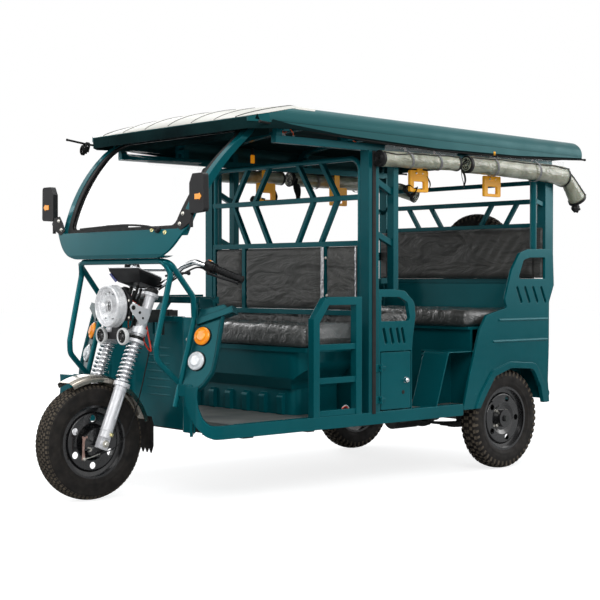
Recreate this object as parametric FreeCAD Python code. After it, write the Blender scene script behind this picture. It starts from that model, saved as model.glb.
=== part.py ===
"""Three wheeled electric passenger rickshaw with an open sided cabin.

Lengths are millimetres. Stations along X are measured from the rear axle line
while the pieces are made, and export moves the whole vehicle so that the origin
is on the ground at the middle of its length. +X is forward, +Y is the left side.
"""
import FreeCAD, Part
import math
import os

V = FreeCAD.Vector
os.makedirs("parts", exist_ok=True)

# Running gear
WHEELBASE = 2085.0
REAR_OVERHANG = 555.0
REAR_TRACK = 1060.0
TYRE_RADIUS = 250.0
TYRE_WIDTH = 98.0
RIM_RADIUS = 152.0
RIM_WALL = 4.0
RIM_FACE = 16.0
DROP_CENTRE = 18.0
FRONT_SPINDLE_RADIUS = 8.0
REAR_SPINDLE_RADIUS = 15.0
RUNNING_FIT = 0.05
NEAR_FIT = 0.3
MOVING_GAP = 6.0

# Steering
RAKE = 22.0
HEAD_HEIGHT = 900.0
FORK_OFFSET = 46.0
FORK_HALF_SPREAD = 100.0
FORK_TUBE_RADIUS = 23.0
LOWER_LEG_RADIUS = 27.0
SPRING_RADIUS = 36.0
SPRING_WIRE = 5.0
SPRING_TURNS = 9
STEERER_RADIUS = 15.0
HEAD_TUBE_RADIUS = 27.0
BAR_RADIUS = 11.0
GRIP_RADIUS = 16.0

# Body
BODY_WIDTH = 1200.0
PANEL = 20.0
QUARTER_WALL = 14.0
SHEET = 4.0
FLOOR_TOP = 335.0
FLOOR_THICK = 14.0
SILL_BOTTOM = 290.0
SILL_WIDTH = 40.0
ROOF_WIDTH = 1300.0
ROOF_WALL = 10.0
ROOF_EDGE = 1556.0
ROOF_RISE = 166.0
ROOF_TAIL = 175.0
ROOF_FALL = 0.7
TUBE = 32.0
POST = 40.0

# Stations measured from the rear axle
TAIL = -345.0
REAR_SEAT_FRONT = 250.0
DOOR_PANEL_BACK = 702.0
POST_BACK = 926.0
POST_FRONT = 990.0
PARTITION = 975.0
LADDER_BACK = 1033.0
DRIVER_SEAT_FRONT = 1290.0
LADDER_FRONT = 1326.0

# Stations measured back from the front axle
APRON_BACK = 365.0
APRON_FRONT = 290.0
PILLAR_FOOT_BACK = 160.0
PILLAR_TOP_BACK = 510.0
ROOF_NOSE_BACK = 400.0

# Heights
SEAT_BASE_HIGH = 310.0
DRIVER_CUSHION_HIGH = 103.0
BENCH_HIGH = 380.0
CUSHION_HIGH = 83.0
PANEL_TOP = 902.0
GRILLE_LOW = 793.0
GRILLE_MIDDLE = 1112.0
GRILLE_HIGH = 1322.0
GRILLE_DROP = 30.0
GRILLE_BAR = 24.0
RAIL_DROP = 26.0
SCREEN_RISE = 32.0
COWL_BOTTOM = 1037.0
COWL_HIGH = 120.0
APRON_TOP = 785.0

HALF = BODY_WIDTH / 2
FACE_IN = HALF - PANEL
REAR_HALF_TRACK = REAR_TRACK / 2
FRONT_AXLE = WHEELBASE
SEAT_BASE_TOP = FLOOR_TOP + SEAT_BASE_HIGH
DRIVER_CUSHION_TOP = SEAT_BASE_TOP + DRIVER_CUSHION_HIGH
BENCH_TOP = FLOOR_TOP + BENCH_HIGH
CUSHION_TOP = BENCH_TOP + CUSHION_HIGH
PAD_BOTTOM = GRILLE_LOW + GRILLE_BAR / 2 + NEAR_FIT
PAD_TOP = GRILLE_MIDDLE - GRILLE_BAR / 2 - NEAR_FIT
RAIL_HEIGHT = ROOF_EDGE - RAIL_DROP
ROOF_CROWN = ROOF_EDGE + ROOF_RISE
SCREEN_TOP = ROOF_EDGE + SCREEN_RISE
COWL_TOP = COWL_BOTTOM + COWL_HIGH
ORIGIN = (WHEELBASE + TYRE_RADIUS - REAR_OVERHANG) / 2
SIN = math.sin(math.radians(RAKE))
COS = math.cos(math.radians(RAKE))


# Making shapes

def save(name, *shapes):
    """Write one node, moved so that the origin is at the middle of the length."""
    shape = shapes[0] if len(shapes) == 1 else Part.makeCompound(list(shapes))
    shape = shape.copy()
    shape.translate(V(-ORIGIN, 0, 0))
    shape.exportStep("parts/" + name + ".step")


def fuse(shapes):
    shapes = list(shapes)
    if len(shapes) == 1:
        return shapes[0]
    return shapes[0].fuse(shapes[1:]).removeSplitter()


def cut(shape, tools):
    tools = list(tools)
    return shape.cut(tools) if tools else shape


def mirrored(shape):
    return shape.mirror(V(0, 0, 0), V(0, 1, 0))


def both(shape):
    return [shape, mirrored(shape)]


def box(x0, x1, y0, y1, z0, z1):
    return Part.makeBox(x1 - x0, y1 - y0, z1 - z0, V(x0, y0, z0))


def rod(start, end, radius):
    """Round bar between two points."""
    start, end = V(*start), V(*end)
    return Part.makeCylinder(radius, (end - start).Length, start, end - start)


def bar(start, end, wide, deep):
    """Square bar between two points; deep is measured nearest to upright or forward."""
    start, end = V(*start), V(*end)
    along = end - start
    length = along.Length
    along.normalize()
    side = V(0, 1, 0) if abs(along.y) < 0.9 else V(0, 0, 1)
    across = side.cross(along)
    across.normalize()
    side = along.cross(across)
    corners = [start + side * (wide / 2 * a) + across * (deep / 2 * b)
               for a, b in ((-1, -1), (1, -1), (1, 1), (-1, 1), (-1, -1))]
    return Part.Face(Part.makePolygon(corners)).extrude(along * length)


def rounded(points, radius=0.0):
    """Closed wire through the points, each corner an arc of its own third value."""
    corners = [V(*p[0]) for p in points]
    radii = [p[1] if p[1] is not None else radius for p in points]
    edges = []
    ends = []
    count = len(corners)
    for i, here in enumerate(corners):
        back = (corners[i - 1] - here)
        ahead = (corners[(i + 1) % count] - here)
        back_length, ahead_length = back.Length, ahead.Length
        back.normalize()
        ahead.normalize()
        angle = back.getAngle(ahead)
        if radii[i] <= 0 or abs(angle - math.pi) < 1e-3:
            ends.append((here, here, None))
            continue
        reach = min(radii[i] / math.tan(angle / 2), 0.48 * back_length, 0.48 * ahead_length)
        real = reach * math.tan(angle / 2)
        middle = back + ahead
        middle.normalize()
        centre = here + middle * (real / math.sin(angle / 2))
        ends.append((here + back * reach, here + ahead * reach, centre - middle * real))
    for i, (first, last, mid) in enumerate(ends):
        if mid is not None:
            edges.append(Part.Arc(first, mid, last).toShape())
        following = ends[(i + 1) % count][0]
        if (following - last).Length > 1e-4:
            edges.append(Part.makeLine(last, following))
    return Part.Wire(edges)


def side_plate(points, y0, y1, radius=0.0):
    """Outline seen from the side, as (x, z) or (x, z, corner radius), between y0 and y1."""
    wire = rounded([((p[0], y0, p[1]), p[2] if len(p) > 2 else None) for p in points], radius)
    return Part.Face(wire).extrude(V(0, y1 - y0, 0))


def front_plate(points, x0, x1, radius=0.0):
    """Outline seen from the front, as (y, z) or (y, z, corner radius), between x0 and x1."""
    wire = rounded([((x0, p[0], p[1]), p[2] if len(p) > 2 else None) for p in points], radius)
    return Part.Face(wire).extrude(V(x1 - x0, 0, 0))


def plan_plate(points, z0, z1, radius=0.0):
    """Outline seen from above, as (x, y) or (x, y, corner radius), between z0 and z1."""
    wire = rounded([((p[0], p[1], z0), p[2] if len(p) > 2 else None) for p in points], radius)
    return Part.Face(wire).extrude(V(0, 0, z1 - z0))


def path(points, bend):
    """Open wire through the points with an arc of radius bend at each inner one."""
    corners = [V(*p) for p in points]
    edges = []
    last = corners[0]
    for i in range(1, len(corners) - 1):
        here = corners[i]
        back, ahead = corners[i - 1] - here, corners[i + 1] - here
        room = min(back.Length, ahead.Length) * 0.48
        back.normalize()
        ahead.normalize()
        angle = back.getAngle(ahead)
        if abs(angle - math.pi) < 1e-3:
            continue
        reach = min(bend / math.tan(angle / 2), room)
        real = reach * math.tan(angle / 2)
        middle = back + ahead
        middle.normalize()
        centre = here + middle * (real / math.sin(angle / 2))
        first, final = here + back * reach, here + ahead * reach
        if (first - last).Length > 1e-4:
            edges.append(Part.makeLine(last, first))
        edges.append(Part.Arc(first, centre - middle * real, final).toShape())
        last = final
    edges.append(Part.makeLine(last, corners[-1]))
    return Part.Wire(edges)


def bent_rod(points, radius, bend):
    """Round bar bent along the points."""
    wire = path(points, bend)
    start = V(*points[0])
    ring = Part.Wire(Part.makeCircle(radius, start, V(*points[1]) - start))
    return wire.makePipeShell([ring], True, False)


def spin_y(points, x, z, start=0.0, sweep=360.0):
    """Revolve an outline of (y, radius, corner radius) about an axle along Y at (x, z)."""
    wire = rounded([((x, p[0], z + p[1]), p[2] if len(p) > 2 else None) for p in points])
    shape = Part.Face(wire)
    if start:
        shape.rotate(V(x, 0, z), V(0, -1, 0), start)
    return shape.revolve(V(x, 0, z), V(0, -1, 0), sweep)


def on_head(along, ahead=0.0, side=0.0):
    """Point in the steering frame: along the raked axis, ahead of it and to its left."""
    foot = FRONT_AXLE - FORK_OFFSET / COS - (HEAD_HEIGHT - TYRE_RADIUS) * SIN / COS
    return (foot - along * SIN + ahead * COS, side, HEAD_HEIGHT + along * COS + ahead * SIN)


HEAD_AXIS = V(-SIN, 0, COS)
HEAD_X = on_head(0)[0]


def fork_point(height, side=FORK_HALF_SPREAD):
    """Point on a fork leg's centre line at a height above the ground."""
    return (FRONT_AXLE - (height - TYRE_RADIUS) * SIN / COS, side, height)


# Frame under the body

RAIL_TOP = FLOOR_TOP - FLOOR_THICK
RAIL_DEEP = 50.0
RAIL_WIDE = 40.0
RAIL_Y = 300.0
HUMP_RISE = 56.0
SILL_TOP = FLOOR_TOP + 10
QUARTER_FOOT = 348.0
CLAMP_DEEP = 26.0
HEAD_TOP = -52.0
HEAD_FOOT = -196.0
NECK_ALONG = -125.0
NECK_FRONT = 30.0
NECK_X = FRONT_AXLE - APRON_BACK - 60
TOW_EYE_RADIUS = 11.0


def chassis_frame():
    """Two long rails that hump over the axle, with their spring hangers, and the neck for the steering head."""
    z0, z1 = RAIL_TOP - RAIL_DEEP, RAIL_TOP
    front = FRONT_AXLE - APRON_BACK - NECK_FRONT
    hump = HUMP_RISE
    outline = [(TAIL + PANEL, z0), (-150, z0, 30), (-95, z0 + hump, 30), (95, z0 + hump, 30), (150, z0, 30), (front, z0),
               (front, z1), (135, z1, 30), (80, z1 + hump, 30), (-80, z1 + hump, 30), (-135, z1, 30), (TAIL + PANEL, z1)]
    rail = [side_plate(outline, RAIL_Y - RAIL_WIDE / 2, RAIL_Y + RAIL_WIDE / 2)]
    for x in (-SPRING_HALF, SPRING_HALF):
        rail.append(box(x - 20, x + 20, RAIL_Y - 20, RAIL_Y + 20, SPRING_EYE_Z + 8, z0 + 4))
    neck_z = on_head(NECK_ALONG)[2]
    neck = [bar((NECK_X, 0, z1 + NEAR_FIT), (NECK_X, 0, neck_z + 25), 60, 50),
            bar((NECK_X, 0, neck_z), on_head(NECK_ALONG), 50, 56),
            rod(on_head(HEAD_FOOT), on_head(HEAD_TOP), HEAD_TUBE_RADIUS)]
    bore = rod(on_head(HEAD_FOOT - 20), on_head(HEAD_TOP + 20), STEERER_RADIUS + RUNNING_FIT)
    return both(fuse(rail)) + [fuse(neck).cut(bore)]


def cross_members():
    """Cross tubes between the rails with outriggers to the sills, and the towing eye behind the last one."""
    z0, z1 = RAIL_TOP - RAIL_DEEP + 8, RAIL_TOP
    sill_in = HALF - SILL_WIDTH
    inner = RAIL_Y - RAIL_WIDE / 2 - NEAR_FIT
    outer = RAIL_Y + RAIL_WIDE / 2 + NEAR_FIT
    pieces = []
    for x, wide, reach in ((TAIL + PANEL, RAIL_WIDE, WHEEL_BOX_IN), (REAR_SEAT_FRONT - 12, RAIL_WIDE, WHEEL_BOX_IN),
                           (QUARTER_FOOT + 10, RAIL_WIDE, sill_in), (DOOR_PANEL_BACK, RAIL_WIDE, sill_in),
                           (POST_BACK + 20, RAIL_WIDE, sill_in), (LADDER_FRONT - 40, RAIL_WIDE, sill_in),
                           (NECK_X - 27, 54, sill_in)):
        middle = box(x, x + wide, -inner, inner, z0, z1)
        if x == TAIL + PANEL:
            tow = plan_plate([(x + 10, -45), (x + 10, 45), (TAIL, 45), (TAIL - 45, 28, 20), (TAIL - 45, -28, 20),
                              (TAIL, -45)], z0 + 1, z0 + 13)
            eye = rod((TAIL - 20, 0, z0 - 5), (TAIL - 20, 0, z0 + 20), TOW_EYE_RADIUS)
            middle = middle.fuse(tow).cut(eye)
        pieces.append(middle)
        pieces += both(box(x, x + wide, outer, reach, z0, z1))
    return pieces


def side_sills():
    """Rounded box sills from the rear doorway to the front corners."""
    back = QUARTER_FOOT + NEAR_FIT
    front = FRONT_AXLE - 345
    profile = side_plate([(back, SILL_BOTTOM, 6), (front, SILL_BOTTOM, 0), (front, SILL_TOP, 0),
                          (back, SILL_TOP, 6)], HALF - SILL_WIDTH, HALF)
    return both(profile)


def floor_pan():
    """Flat floor between the sills, cut back at the front for the wheel."""
    sill_in = HALF - SILL_WIDTH
    front = FRONT_AXLE - APRON_BACK - 12.3
    sheet = box(REAR_SEAT_FRONT - 12, front, -sill_in, sill_in, RAIL_TOP, FLOOR_TOP)
    tools = [box(NECK_X - 26, NECK_X + 26, -31, 31, 0, 400)]
    for side in (-1, 1):
        lo, hi = sorted((side * (WHEEL_BOX_IN + SHEET), side * HALF))
        tools.append(rod((0, lo, TYRE_RADIUS), (0, hi, TYRE_RADIUS), TYRE_RADIUS + 15))
    return sheet.cut(tools)


# Rear axle

BEAM_RADIUS = 28.0
BEAM_END = 440.0
SPRING_HALF = 290.0
SPRING_EYE_Z = 238.0
LEAF = 7.0
LEAF_WIDE = 44.0


def rear_axle():
    """Live axle: tubes, differential, motor in front of it, brake backs and leaf springs under it."""
    beam = rod((0, -BEAM_END, TYRE_RADIUS), (0, BEAM_END, TYRE_RADIUS), BEAM_RADIUS)
    case = Part.makeSphere(86, V(0, 0, TYRE_RADIUS))
    cover = rod((-98, 0, TYRE_RADIUS), (-60, 0, TYRE_RADIUS), 60)
    motor = rod((60, 0, TYRE_RADIUS - 20), (REAR_SEAT_FRONT - 20, 0, TYRE_RADIUS - 20), 64)
    parts = [beam, case, cover, motor]
    for side in (-1, 1):
        parts.append(rod((0, side * (BEAM_END - 14), TYRE_RADIUS), (0, side * BEAM_END, TYRE_RADIUS), 92))
        parts.append(rod((0, side * BEAM_END, TYRE_RADIUS),
                         (0, side * (REAR_HALF_TRACK + 56), TYRE_RADIUS), REAR_SPINDLE_RADIUS))
        parts.append(box(-34, 34, side * RAIL_Y - 26, side * RAIL_Y + 26, TYRE_RADIUS - BEAM_RADIUS - 4, TYRE_RADIUS))
        parts.append(leaf_stack(side * RAIL_Y))
    return fuse(parts)


def leaf_stack(y):
    """Curved leaves, the longest on top with an eye at each end."""
    leaves = []
    top = TYRE_RADIUS - BEAM_RADIUS - 4
    full = SPRING_EYE_Z - top
    for i, share in enumerate((1.0, 0.78, 0.56, 0.36)):
        reach = SPRING_HALF * share
        low = top - LEAF * (i + 1)
        rise = full * share * share
        under = Part.Arc(V(-reach, y, low + rise), V(0, y, low), V(reach, y, low + rise)).toShape()
        over = Part.Arc(V(reach, y, low + rise + LEAF), V(0, y, low + LEAF), V(-reach, y, low + rise + LEAF)).toShape()
        ends = [Part.makeLine(V(reach, y, low + rise), V(reach, y, low + rise + LEAF)),
                Part.makeLine(V(-reach, y, low + rise + LEAF), V(-reach, y, low + rise))]
        leaf = Part.Face(Part.Wire([under, ends[0], over, ends[1]])).extrude(V(0, LEAF_WIDE, 0))
        leaf.translate(V(0, -LEAF_WIDE / 2, 0))
        leaves.append(leaf)
    for x in (-SPRING_HALF, SPRING_HALF):
        leaves.append(rod((x, y - LEAF_WIDE / 2, SPRING_EYE_Z - 6), (x, y + LEAF_WIDE / 2, SPRING_EYE_Z - 6), 13.7))
    return fuse(leaves)


# Wheels

def tyre(x, y):
    """Round shouldered tyre with a lip on each bead."""
    w = TYRE_WIDTH / 2
    bead = RIM_RADIUS + NEAR_FIT
    points = [(-w * 0.66, bead), (-w * 0.66, bead + 10), (-w, bead + 34, 20), (-w, TYRE_RADIUS - 30, 20), (-w * 0.72, TYRE_RADIUS, 22),
              (w * 0.72, TYRE_RADIUS, 22), (w, TYRE_RADIUS - 30, 20), (w, bead + 34, 20), (w * 0.66, bead + 10), (w * 0.66, bead)]
    shape = spin_y([(y + p[0],) + tuple(p[1:]) for p in points], x, TYRE_RADIUS)
    grooves = []
    depth = 7.0
    for offset in (-w * 0.36, w * 0.36):
        ring = spin_y([(y + offset - 4, TYRE_RADIUS - depth), (y + offset + 4, TYRE_RADIUS - depth),
                       (y + offset + 4, TYRE_RADIUS + 5), (y + offset - 4, TYRE_RADIUS + 5)], x, TYRE_RADIUS)
        grooves.append(ring)
    return cut(shape, grooves)


def rim(x, y, side, hub_radius, bore, hub_in, hub_out, holes, drum=0.0, drum_out=0.0):
    """Pressed steel disc wheel in one turned outline: rim well, stepped disc with hand holes, hub and brake drum."""
    w = TYRE_WIDTH / 2
    r = RIM_RADIUS
    t = RIM_WALL
    well = r - DROP_CENTRE
    offsets = [(RIM_FACE, hub_radius), (RIM_FACE, 60, 6), (RIM_FACE + 10, 80, 8), (RIM_FACE + 10, 122, 5), (13, well - t),
               (w * 0.36, well - t), (w * 0.40, r - t), (w * 0.80, r - t), (w * 0.80, r + 8), (w * 0.72, r + 8), (w * 0.72, r),
               (w * 0.42, r), (w * 0.38, well), (-w * 0.38, well), (-w * 0.42, r), (-w * 0.72, r), (-w * 0.72, r + 8),
               (-w * 0.80, r + 8), (-w * 0.80, r - t), (-w * 0.40, r - t), (-w * 0.36, well - t), (6, well - t),
               (RIM_FACE + 5, 119, 5), (RIM_FACE + 5, 82, 6), (RIM_FACE - 5, 62, 6), (RIM_FACE - 5, hub_radius)]
    outline = [(hub_in, bore), (hub_out, bore), (hub_out, hub_radius)]
    outline += [(y + side * p[0],) + tuple(p[1:]) for p in offsets]
    if drum:
        outline += [(drum_out, hub_radius), (drum_out, drum, 6), (hub_in, drum, 4)]
    else:
        outline += [(hub_in, hub_radius)]
    tools = []
    middle = RIM_FACE + 8
    for i in range(holes):
        turn = 2 * math.pi * (i + 0.5) / holes
        cx, cz = x + 101 * math.cos(turn), TYRE_RADIUS + 101 * math.sin(turn)
        tools.append(rod((cx, y + side * (middle - 14), cz), (cx, y + side * (middle + 14), cz), 15))
    return cut(spin_y(outline, x, TYRE_RADIUS), tools)


def front_wheel():
    bore = FRONT_SPINDLE_RADIUS + RUNNING_FIT
    return tyre(FRONT_AXLE, 0.0), rim(FRONT_AXLE, 0.0, 1, 42, bore, -52, 52, 6)


def rear_wheel(side):
    y = side * REAR_HALF_TRACK
    near = side * (BEAM_END + MOVING_GAP)
    bore = REAR_SPINDLE_RADIUS + RUNNING_FIT
    return tyre(0.0, y), rim(0.0, y, side, 44, bore, near, y + side * 44, 5, 88, near + side * 62)


# Front fork and handlebar

LEG_TOP = 505.0
SPRING_FOOT = 503.0
SPRING_DROP = 37.5
SPRING_HEAD = HEAD_HEIGHT + (HEAD_FOOT - 2 - CLAMP_DEEP) * COS + FORK_OFFSET * SIN - SPRING_DROP


def clamp(along, deep):
    """Fork clamp: three bosses joined by webs, square to the steering axis."""
    bosses = [((FORK_OFFSET, -FORK_HALF_SPREAD), 33), ((0, 0), 34), ((FORK_OFFSET, FORK_HALF_SPREAD), 33)]
    pieces = []
    for (ahead, side), radius in bosses:
        pieces.append(rod(on_head(along, ahead, side), on_head(along + deep, ahead, side), radius))
    corners = [(-24, 0), (FORK_OFFSET - 24, -FORK_HALF_SPREAD), (FORK_OFFSET + 20, -FORK_HALF_SPREAD),
               (FORK_OFFSET - 4, 0), (FORK_OFFSET + 20, FORK_HALF_SPREAD), (FORK_OFFSET - 24, FORK_HALF_SPREAD)]
    outline = [V(*on_head(along, ahead, side)) for ahead, side in corners]
    pieces.append(Part.Face(Part.makePolygon(outline + outline[:1])).extrude(HEAD_AXIS * deep))
    return fuse(pieces)


def fork_lower():
    """Cast lower legs with axle lugs, and the axle spindle."""
    parts = []
    for side in (-1, 1):
        y = side * FORK_HALF_SPREAD
        parts.append(rod(fork_point(TYRE_RADIUS + 24, y), fork_point(LEG_TOP - 12, y), LOWER_LEG_RADIUS))
        parts.append(rod(fork_point(SPRING_FOOT - 16, y), fork_point(SPRING_FOOT, y), SPRING_RADIUS))
        parts.append(bar(fork_point(TYRE_RADIUS - 22, y), fork_point(TYRE_RADIUS + 60, y), 30, 46))
    parts.append(rod((FRONT_AXLE, -FORK_HALF_SPREAD - 28, TYRE_RADIUS),
                     (FRONT_AXLE, FORK_HALF_SPREAD + 28, TYRE_RADIUS), FRONT_SPINDLE_RADIUS))
    parts += [rod((FRONT_AXLE, s * (FORK_HALF_SPREAD + 15), TYRE_RADIUS),
                  (FRONT_AXLE, s * (FORK_HALF_SPREAD + 26), TYRE_RADIUS), 16) for s in (-1, 1)]
    return fuse(parts)


def fork_upper():
    """Stanchions, the two clamps and the steering stem."""
    parts = []
    low, high = HEAD_FOOT - 2 - CLAMP_DEEP, HEAD_TOP + 2
    for side in (-1, 1):
        y = side * FORK_HALF_SPREAD
        parts.append(rod(fork_point(SPRING_HEAD, y), on_head(high + 22, FORK_OFFSET, y), FORK_TUBE_RADIUS))
        parts.append(rod(fork_point(SPRING_FOOT + NEAR_FIT, y), fork_point(SPRING_HEAD, y), FORK_TUBE_RADIUS - 7))
        parts.append(rod(fork_point(SPRING_HEAD, y), fork_point(SPRING_HEAD + 12, y), SPRING_RADIUS + 1))
    parts += [clamp(low, CLAMP_DEEP), clamp(high, 14)]
    parts.append(rod(on_head(low), on_head(high + 26), STEERER_RADIUS))
    return fuse(parts)


def fork_springs():
    """Coil springs round both legs."""
    coils = []
    for side in (-1, 1):
        foot = V(*fork_point(SPRING_FOOT, side * FORK_HALF_SPREAD))
        head = V(*fork_point(SPRING_HEAD, side * FORK_HALF_SPREAD))
        length = (head - foot).Length - 2 * SPRING_WIRE - 0.6
        helix = Part.makeHelix(length / SPRING_TURNS, length, SPRING_RADIUS - SPRING_WIRE)
        ring = Part.Wire(Part.makeCircle(SPRING_WIRE, V(SPRING_RADIUS - SPRING_WIRE, 0, 0), V(0, 1, 0)))
        coil = Part.Wire(helix.Edges).makePipeShell([ring], True, True)
        coil.Placement = FreeCAD.Placement(foot + HEAD_AXIS * (SPRING_WIRE + 0.3),
                                           FreeCAD.Rotation(V(0, 0, 1), HEAD_AXIS))
        coils.append(coil)
    return coils


def handlebar():
    """Raised bar with a cross brace, bolted to the top clamp."""
    x, z = HEAD_X, HEAD_HEIGHT
    left = [(x + 25, 20, z + 5), (x + 12, 130, z + 25), (x - 33, 205, z + 100), (x - 66, 250, z + 122),
            (x - 123, 292, z + 100), (x - 184, 415, z + 50)]
    right = [(px, -y, pz) for px, y, pz in reversed(left)]
    tube = bent_rod(right + left, BAR_RADIUS, 30)
    brace = rod((x - 28, -196, z + 90), (x - 28, 196, z + 90), BAR_RADIUS * 0.7)
    stands = [bar(on_head(HEAD_TOP + 16, FORK_OFFSET * 0.35, s * 34), (x + 25, s * 34, z + 6), 22, 22) for s in (-1, 1)]
    return fuse([tube, brace] + stands).cut(fork_upper()), left[-2], left[-1]


def grips(inner, outer):
    """Rubber grips over the ends of the bar."""
    inner, outer = V(*inner), V(*outer)
    along = outer - inner
    along.normalize()
    start = inner + along * 20
    length = (outer - start).Length + 6
    sleeve = Part.makeCylinder(GRIP_RADIUS, length, start, along)
    flange = Part.makeCylinder(GRIP_RADIUS + 7, 5, start, along)
    hollow = Part.makeCylinder(BAR_RADIUS + NEAR_FIT, (outer - start).Length + NEAR_FIT, start, along)
    return both(sleeve.fuse(flange).cut(hollow))


LAMP_AHEAD = 96.0
LAMP_Z = HEAD_HEIGHT - 70
LAMP_X = FRONT_AXLE - (LAMP_Z - TYRE_RADIUS) * SIN / COS + LAMP_AHEAD
LAMP_RADIUS = 93.0
LAMP_DEEP = 62.0
INSTRUMENT_SWEEP = 158.0


def headlamp():
    """Domed round headlamp with its bezel."""
    x = LAMP_X
    r = LAMP_RADIUS
    axis = V(1, 0, 0)
    bowl = Part.makeCone(r * 0.6, r, 26, V(x, 0, LAMP_Z), axis)
    bezel = Part.makeCylinder(r, 22, V(x + 26, 0, LAMP_Z), axis)
    rise = LAMP_DEEP - 48
    ball = (r * r + rise * rise) / (2 * rise)
    dome = Part.makeSphere(ball, V(x + LAMP_DEEP - ball, 0, LAMP_Z))
    lens = dome.common(Part.makeCylinder(r - 6, 40, V(x + 40, 0, LAMP_Z), axis))
    return fuse([bowl, bezel, lens])


def lamp_shroud():
    """Dark shroud and bracket that join the headlamp and fog lamps to the clamps."""
    x = LAMP_X - NEAR_FIT
    ear = FORK_HALF_SPREAD
    plate = front_plate([(-ear, LAMP_Z - 60, 10), (ear, LAMP_Z - 60, 10), (ear, LAMP_Z + 45, 14),
                         (55, LAMP_Z + 80, 10), (-55, LAMP_Z + 80, 10), (-ear, LAMP_Z + 45, 14)], x - 14, x)
    back = FOG_X
    fog = bar((x - 8, 0, LAMP_Z - 40), (back - 8, 0, FOG_Z), 60, 14)
    wing = front_plate([(-80, FOG_Z - 16, 8), (80, FOG_Z - 16, 8), (80, FOG_Z + 16, 8), (-80, FOG_Z + 16, 8)],
                       back - 14, back)
    low = on_head(HEAD_FOOT - 2 - CLAMP_DEEP / 2, FORK_OFFSET * 0.4)
    stay = bar(low, (back - 8, 0, FOG_Z), 40, 14)
    body = fuse([plate, fog, wing, stay])
    return body.cut([fork_upper(), headlamp()])


FOG_AHEAD = 53.0
FOG_Z = HEAD_HEIGHT - 199
FOG_X = FRONT_AXLE - (FOG_Z - TYRE_RADIUS) * SIN / COS + FOG_AHEAD
FOG_RADIUS = 37.0


def fog_lamps():
    lamps = []
    for side in (-1, 1):
        x = FOG_X + NEAR_FIT
        body = rod((x, side * 82, FOG_Z), (x + 20, side * 82, FOG_Z), FOG_RADIUS)
        dish = rod((x + 12, side * 82, FOG_Z), (x + 24, side * 82, FOG_Z), FOG_RADIUS - 9)
        eye = rod((x + 10, side * 82, FOG_Z), (x + 18, side * 82, FOG_Z), 11)
        lamps.append(body.cut(dish).fuse(eye))
    return lamps


def instrument_box(bars):
    """Dark wedge over the top clamp with the display facing the driver."""
    x0, x1, z = HEAD_X + 12, HEAD_X + 144, HEAD_HEIGHT
    wedge = side_plate([(x0, z + 5, 6), (x1 - 20, z + 38, 10), (x1, z + 85, 10), (x1 - 22, z + 100, 8), (x0, z + 52, 12)],
                       -115, 115)
    wedge = wedge.common(rod(on_head(-60), on_head(200), INSTRUMENT_SWEEP))
    return wedge.cut([bars, fork_upper()])


def mudguard():
    """Bright mudguard that hugs the front tyre."""
    r = TYRE_RADIUS + 34
    h = 62
    profile = [(-h, r - 26, 0), (-h, r - 6, 12), (-h * 0.6, r + 4, 20), (h * 0.6, r + 4, 20), (h, r - 6, 12),
               (h, r - 26, 0), (h - 2, r - 26, 0), (h - 2, r - 7, 10), (h * 0.58, r + 2, 18),
               (-h * 0.58, r + 2, 18), (-h + 2, r - 7, 10), (-h + 2, r - 26, 0)]
    guard = spin_y(profile, FRONT_AXLE, TYRE_RADIUS, -26, 0.01 + 100)
    stays = []
    for side in (-1, 1):
        top = (FRONT_AXLE - 108, side * (h - 1), TYRE_RADIUS + 250)
        stays.append(bar((top[0], side * (h - 2), top[2]), fork_point(455, side * (FORK_HALF_SPREAD - 20)), 5, 24))
    return fuse([guard] + stays).cut(fork_lower())


def mud_flap():
    """Rubber flap under the rear end of the mudguard, with a notched lower edge."""
    x = FRONT_AXLE - 280.4
    points = [(-60, 343), (-76, 312, 10), (-76, 214)]
    teeth = 5
    for i in range(teeth):
        left = -76 + 152 * i / teeth
        points += [(left + 76 / teeth, 182), (left + 152 / teeth, 208)]
    points[-1] = (76, 214)
    points += [(76, 312, 10), (60, 343)]
    return front_plate(points, x - 3, x + 3)


def brake_gear():
    """Front brake back plate and arm on the left of the hub."""
    plate = rod((FRONT_AXLE, 53, TYRE_RADIUS), (FRONT_AXLE, 60, TYRE_RADIUS), 62)
    spindle = rod((FRONT_AXLE, 50, TYRE_RADIUS), (FRONT_AXLE, 70, TYRE_RADIUS), FRONT_SPINDLE_RADIUS + NEAR_FIT)
    arm = bar((FRONT_AXLE - 6, 64, TYRE_RADIUS - 45), (FRONT_AXLE + 52, 64, TYRE_RADIUS - 22), 6, 14)
    pin = rod((FRONT_AXLE - 6, 58, TYRE_RADIUS - 45), (FRONT_AXLE - 6, 70, TYRE_RADIUS - 45), 8)
    return fuse([plate, arm, pin]).cut(spindle)


# Front of the body

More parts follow.
